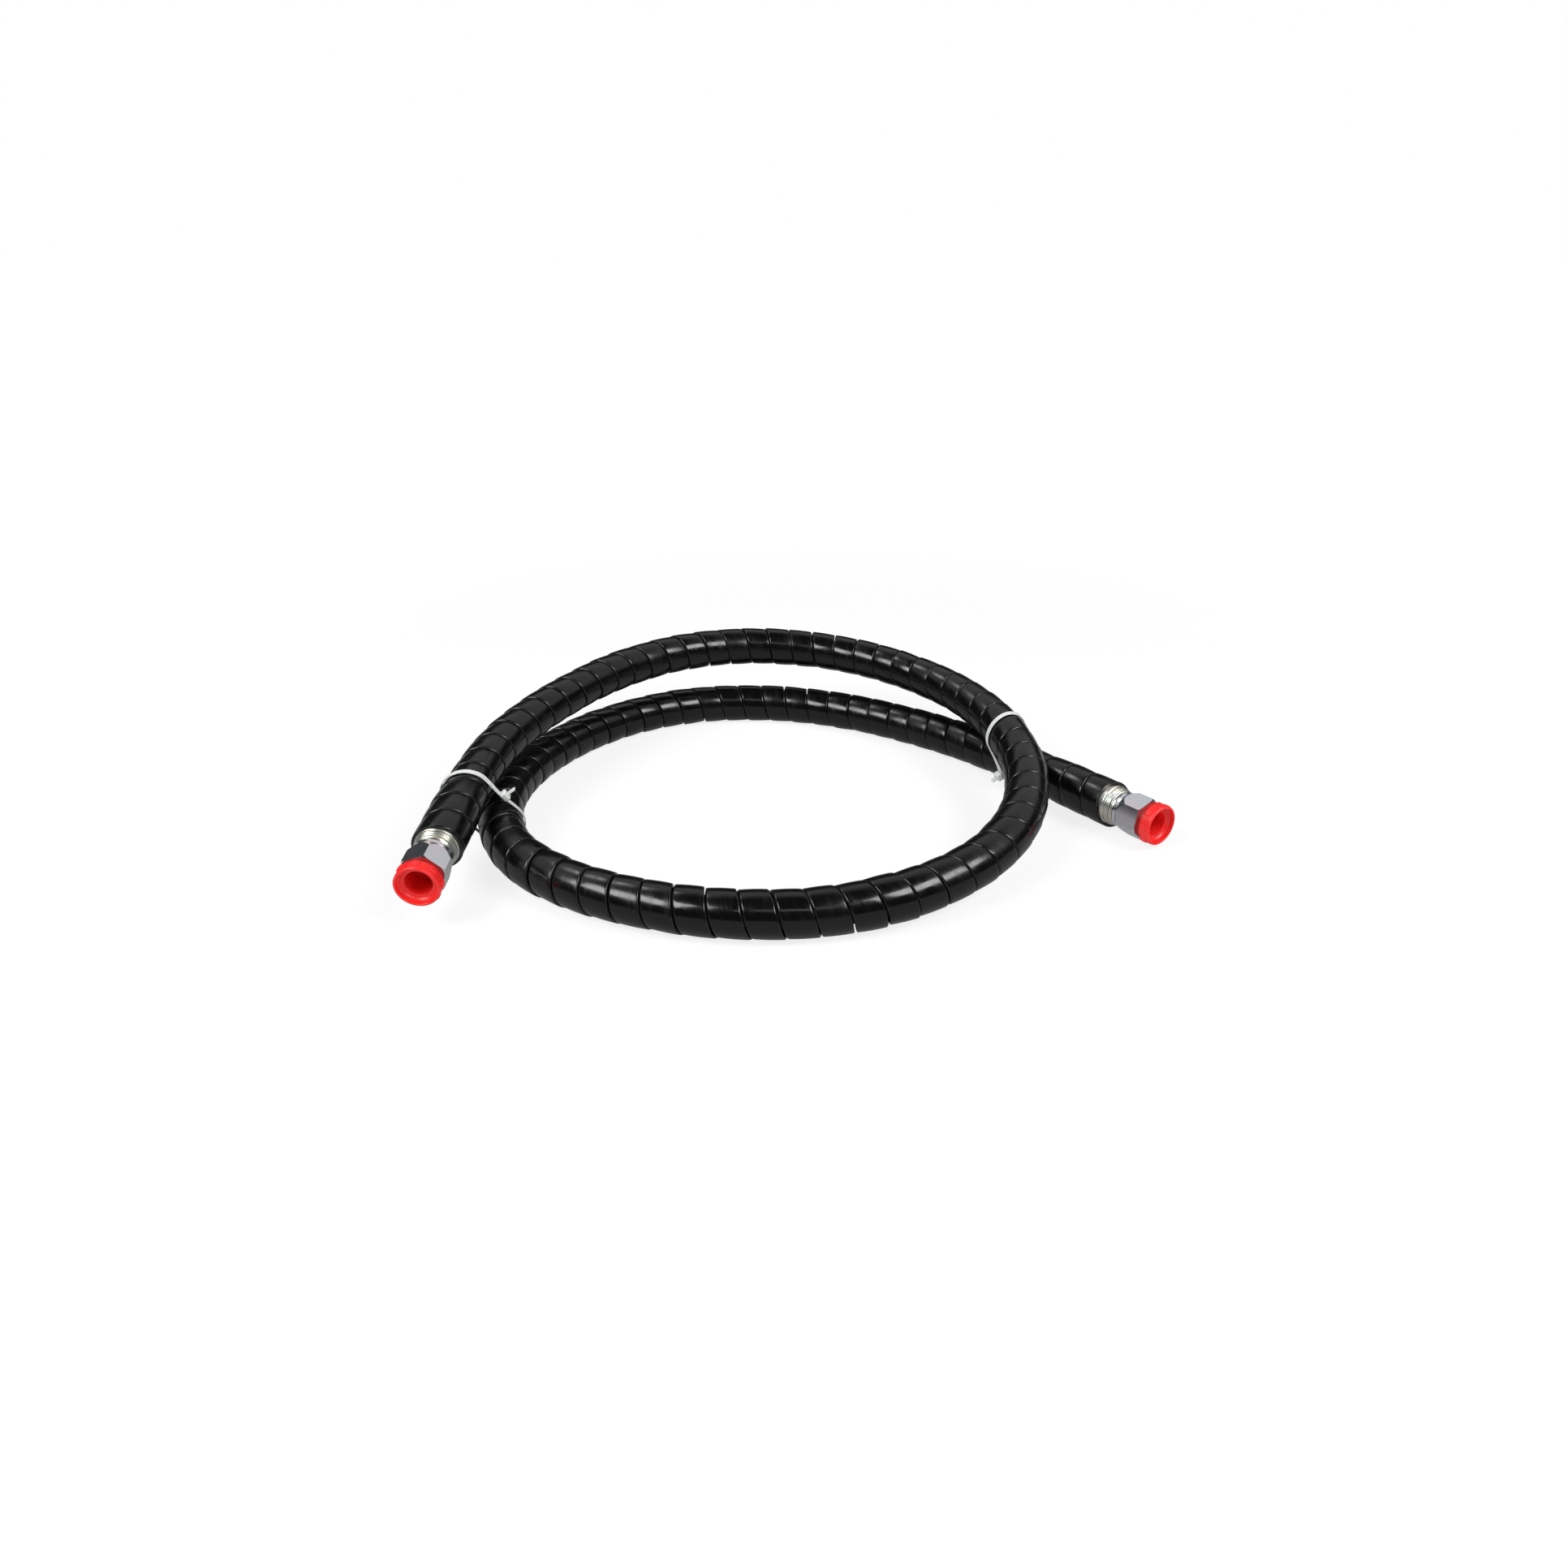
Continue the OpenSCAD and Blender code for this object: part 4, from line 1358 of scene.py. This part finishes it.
@dataclass
class CableTie:
    """A nylon tie round two strands: flat strap, head with its window, and a cut tail."""

    name: str
    node: str
    route: HoseRoute
    places: Point2
    head_place: float
    tail: float
    dip: float
    head_lift: float
    strap_width: float = 4.2
    strap: float = 1.0
    strap_rounding: float = 0.22
    head_side: float = 7.4
    head_height: float = 5.0
    head_rounding: float = 1.3
    window: float = 2.4
    tooth_pitch: float = 1.1
    strand_radius: float = 17.7
    clearance: float = 0.2
    # Points of the strap's line round a strand, and from strand to strand
    arc_points: int = 40
    span_points: int = 18

    @cached_property
    def seat(self) -> tuple[Matrix, float, np.ndarray]:
        """Where the tie sits.

        Returns:
            Its placement in metres, how far apart the strands lie, and their directions as it
            sees them.
        """
        points, directions = self.route.at(list(self.places))
        upper, lower = Vector(points[0]), Vector(points[1])
        one, two = Vector(directions[0]), Vector(directions[1])
        spread = (upper - lower).length
        x = (upper - lower) / spread
        both = (one + two).normalized()
        z = (both - both.dot(x) * x).normalized()
        turn = Matrix((x, z.cross(x), z))
        where = Matrix.Translation((upper + lower) / 2 * MM) @ turn.transposed().to_4x4()
        return where, spread, np.array([turn @ one, turn @ two])

    def touch(self, side: int, angle: np.ndarray, level: float) -> np.ndarray:
        """Points where a strap lying on a strand has a given outward direction.

        Args:
            side: 0 for the upper strand, 1 for the lower.
            angle: Outward directions in radians.
            level: Height across the strap's width.

        Returns:
            Points in the strap's plane.
        """
        _, spread, seen = self.seat
        lean = seen[side, :2]
        centre = np.array([(0.5 - side) * spread, 0.0]) + level * lean / seen[side, 2]
        stretch = np.eye(2) + np.outer(lean, lean) / (1 - lean @ lean)
        out = np.stack([np.cos(angle), np.sin(angle)], 1)
        reach = out @ stretch
        away = (self.strand_radius + self.clearance) * reach
        return centre + away / np.sqrt((out * reach).sum(1))[:, None]

    def loop(self, level: float) -> tuple[np.ndarray, np.ndarray]:
        """The line of the strap round both strands, dipped into the valley on the head's side.

        Args:
            level: Height across the strap's width.

        Returns:
            Points and outward directions.
        """
        first = np.linspace(-TURN / 4, TURN / 4, self.arc_points)
        near, far = self.touch(0, first, level), self.touch(1, first + math.pi, level)
        share = np.linspace(0, 1, self.span_points)[1:-1, None]
        top = near[-1] + (far[0] - near[-1]) * share
        top[:, 1] -= self.dip * np.sin(math.pi * share[:, 0]) ** 2
        bottom = far[-1] + (near[0] - far[-1]) * share
        line = np.concatenate([near, top, far, bottom])
        ahead = np.roll(line, -1, 0) - np.roll(line, 1, 0)
        out = np.stack([ahead[:, 1], -ahead[:, 0]], 1)
        return line, out / np.linalg.norm(out, axis=1)[:, None]

    def band(self) -> Piece:
        """The closed strap, which lies on both strands across its whole width.

        Returns:
            The strap.
        """
        half, thick, r = self.strap_width / 2, self.strap, self.strap_rounding
        outline = [(-half, thick - r), (-half, r), (-half + r, 0.0), (0.0, 0.0), (half - r, 0.0),
                   (half, r), (half, thick - r), (half - r, thick), (0.0, thick),
                   (-half + r, thick)]
        rows = []
        for level, height in outline:
            line, out = self.loop(level)
            rows.append(np.column_stack([line + out * height, np.full(len(line), level)]))
        rings = np.stack(rows, 1)
        n = len(outline)
        return grid_mesh(self.name, rings, [list(range(n))], [], "strap", np.linspace(0, 1, n + 1),
                         np.linspace(0, 1, len(rings) + 1), closed=True)

    @staticmethod
    def block(size: Point3, at: Point3, rounding: float, segments: int = 3) -> Piece:
        """A rounded block.

        Args:
            size: Its sides.
            at: Its centre.
            rounding: Radius of its edges.
            segments: Faces across a rounding.

        Returns:
            The block.
        """
        block = Bench.cube("block", size, at)
        Bench.soften(block, rounding, segments)
        return block

    def head(self, x: float, base: float) -> list[Piece]:
        """Head with a window, its pawl, the strap's tail and the teeth on it.

        Args:
            x: Place of the head along the strap.
            base: Height at which the head starts.

        Returns:
            The pieces of the head.
        """
        side, high, wide = self.head_side, self.head_height, self.strap_width
        middle, length = (base + (base + high)) / 2, high + self.tail
        head = self.block((side, high, side), (x, middle, 0), self.head_rounding)
        window = self.block((self.window, high + 2, wide + 0.6), (x + 0.3, middle, 0), 0.1, 1)
        Bench.combine(head, window, "DIFFERENCE")
        Bench.soften(head, 0.12, segments=1, angle=50)
        tail = self.block((self.strap, length, wide), (x, base + length / 2, 0), 0.2, 2)
        pawl = self.block((0.9, high * 0.8, wide * 0.7), (x + 1.1, base + high * 0.55, 0), 0.2, 2)
        tooth = (0.35, 0.45, wide * 0.62)
        teeth = [self.block(tooth, (x + 0.55, base + 0.8 + self.tooth_pitch * k, 0), 0.12, 1)
                 for k in range(int((length - 1) / self.tooth_pitch))]
        return [head, tail, pawl, *teeth]

    def build(self) -> Piece:
        """Makes the tie.

        Returns:
            The tie, in its place.
        """
        where, spread, _ = self.seat
        tie = self.band()
        line = self.loop(0.0)[0]
        upper = line[line[:, 1] > 0]
        order = upper[:, 0].argsort()
        x = self.head_place * spread / 2
        base = float(np.interp(x, upper[order, 0], upper[order, 1])) + self.head_lift
        Bench.join(tie, self.head(x, base))
        Bench.smooth(tie, 35)
        Bench.place(tie, where)
        TIE_NYLON.dress(tie)
        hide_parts(self.node)
        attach(tie, "hose")
        return tie


# ---- Studio ----


@dataclass
class Studio:
    """Camera, floor, lamps and the room that the gloss shows."""

    eye: Point3 = (-20.0, -879.0, 423.1)
    pitch: float = 24.733
    focal_pixels: float = 1422.9
    image_pixels: float = 1932.0
    sensor: float = 36.0
    floor_side: float = 80.0
    floor_whites: tuple[Color, Color] = ((0.88, 0.88, 0.88), (0.9, 0.9, 0.9))
    # Distances in metres between which the floor's shadow fades out
    shadow_fade: Point2 = (0.45, 1.3)
    # How the room that gloss sees fades in and out, by the direction towards it
    behind_fade: Point2 = (-0.4, 0.25)
    foot_fade: Point2 = (0.44, 0.6)
    top_fade: Point2 = (0.97, 0.8)
    window_foot: Point2 = (0.3, 0.46)
    window_side: Point2 = (0.2, 0.45)
    backdrop_light: float = 0.6
    dim_light: float = 0.024
    fill_light: float = 0.14
    # Name, place in metres, sides in metres and power in watts of each lamp
    lamps: Sequence[tuple[str, Point3, Point2, float]] = (
        ("left_box", (-1.45, -0.95, 1.65), (1.35, 0.8), 40.0),
        ("right_box", (1.43, -0.85, 1.65), (1.35, 0.8), 40.0),
        ("front_strip", (0.1, -1.5, 1.5), (1.0, 0.12), 1.3),
        ("rim", (-0.95, 0.8, 1.8), (0.5, 0.4), 3.0))

    def camera(self) -> None:
        """Stands the camera at the product view."""
        data = bpy.data.cameras.new("view_camera")
        data.sensor_width = self.sensor
        data.lens = self.focal_pixels / self.image_pixels * self.sensor
        data.clip_start, data.clip_end = 0.01, 200.0
        camera = bpy.data.objects.new("view_camera", data)
        camera.location = [c * MM for c in self.eye]
        camera.rotation_euler = (math.radians(90 - self.pitch), 0, 0)
        bpy.context.scene.collection.objects.link(camera)
        bpy.context.scene.camera = camera

    def floor(self) -> None:
        """Lays a white floor that keeps a light shadow."""
        Bench.clear()
        bpy.ops.mesh.primitive_plane_add(size=self.floor_side)
        floor = Bench.named("floor")
        material = bpy.data.materials.new("floor_white")
        graph = Graph(material)
        white = graph.mix(graph.noise(graph.place(), 300.0, 2.0), *self.floor_whites)
        matt = graph.node("ShaderNodeBsdfDiffuse", {}, {"Color": white}).outputs[0]
        camera, gloss = graph.rays()
        reach = graph.node("ShaderNodeVectorMath", {"operation": "LENGTH"}, {0: graph.place()})
        far = Value(graph, reach.outputs["Value"]).between(*self.shadow_fade)
        shown = camera * (0.8 + far * 0.2) + gloss * 0.85
        glow = graph.emission(WHITE, camera * 1.03 + gloss * (0.3 + far * 0.16))
        both = graph.node("ShaderNodeMixShader", {}, {0: shown, 1: matt, 2: glow})
        graph.output(both.outputs[0])
        floor.data.materials.append(material)

    def world(self) -> None:
        """White for the camera; for gloss, a bright backdrop behind and a dim room in front."""
        world = bpy.data.worlds.new("studio")
        bpy.context.scene.world = world
        graph = Graph(world)
        direction = graph.node("ShaderNodeTexCoord", {}, {}).outputs["Generated"]
        parts = graph.node("ShaderNodeSeparateXYZ", {}, {0: direction}).outputs
        right, behind, height = (Value(graph, part) for part in parts)
        window = height.between(*self.window_foot) * right.between(*self.window_side)
        high = height.between(*self.top_fade) * height.between(*self.foot_fade).larger(window)
        room = behind.between(*self.behind_fade) * high * self.backdrop_light + self.dim_light
        camera, gloss = graph.rays()
        level = camera + gloss * room + (1.0 - camera.larger(gloss)) * self.fill_light
        glow = graph.node("ShaderNodeBackground", {}, {"Color": WHITE, "Strength": level})
        graph.output(glow.outputs[0], "World")

    @staticmethod
    def lamp(name: str, at: Point3, size: Point2, power: float) -> None:
        """Hangs a soft lamp that points at the origin.

        Args:
            name: Its name.
            at: Its place in metres.
            size: Its sides in metres.
            power: Its power in watts.
        """
        data = bpy.data.lights.new(name, "AREA")
        data.shape = "RECTANGLE"
        data.size, data.size_y = size
        data.energy = power
        lamp = bpy.data.objects.new(name, data)
        lamp.location = at
        lamp.rotation_euler = (-Vector(at)).to_track_quat("-Z", "Y").to_euler()
        bpy.context.scene.collection.objects.link(lamp)

    @staticmethod
    def flag(name: str, at: Point3, aim: Point3, size: Point2) -> None:
        """Stands a black card that only gloss sees.

        Args:
            name: Its name.
            at: Its place in metres.
            aim: What it faces.
            size: Its sides in metres.
        """
        Bench.clear()
        bpy.ops.mesh.primitive_plane_add(size=1, location=at)
        card = Bench.named(name)
        card.scale = (size[0], size[1], 1)
        card.rotation_euler = (Vector(aim) - Vector(at)).to_track_quat("Z", "Y").to_euler()
        bpy.ops.object.transform_apply()
        material = bpy.data.materials.new(name)
        graph = Graph(material)
        graph.output(graph.emission((0.03, 0.034, 0.034), 1.0))
        card.data.materials.append(material)
        card.visible_camera = card.visible_diffuse = card.visible_shadow = False

    def build(self) -> None:
        """Sets up the whole studio."""
        bpy.context.scene.view_settings.view_transform = "Standard"
        self.floor()
        self.world()
        for row in self.lamps:
            self.lamp(*row)
        self.flag("dark_card", (-0.95, 0.72, 0.5), (-0.265, -0.18, 0.04), (0.85, 0.62))


def main() -> None:
    """Builds the studio and every piece in order."""
    logging.basicConfig(level=logging.INFO, format="%(name)s: %(message)s")
    studio = Studio()
    studio.camera()
    route = HoseRoute()
    hose = HoseLayers(route)
    cover, others = hose.build()
    others.append(SpiralGuard(route).build())
    others += EndFitting(End.LEFT, route, roll=18.0).build()
    others += EndFitting(End.RIGHT, route, roll=17.0).build()
    others.append(CableTie("left_nylon_tie", "left_cable_tie", route, places=(73.5, 1400.0),
                           head_place=-0.14, tail=7.0, dip=1.2, head_lift=0.0).build())
    others.append(CableTie("right_nylon_tie", "right_cable_tie", route, places=(770.0, 2070.0),
                           head_place=-0.9, tail=5.0, dip=0.6, head_lift=1.2).build())
    hose.declare()
    log.info("route: %.1f mm", route.length)
    for piece in (cover, *others):
        log.info("%s: %d faces", piece.name, len(piece.data.polygons))
    studio.build()


if __name__ == "__main__":
    main()
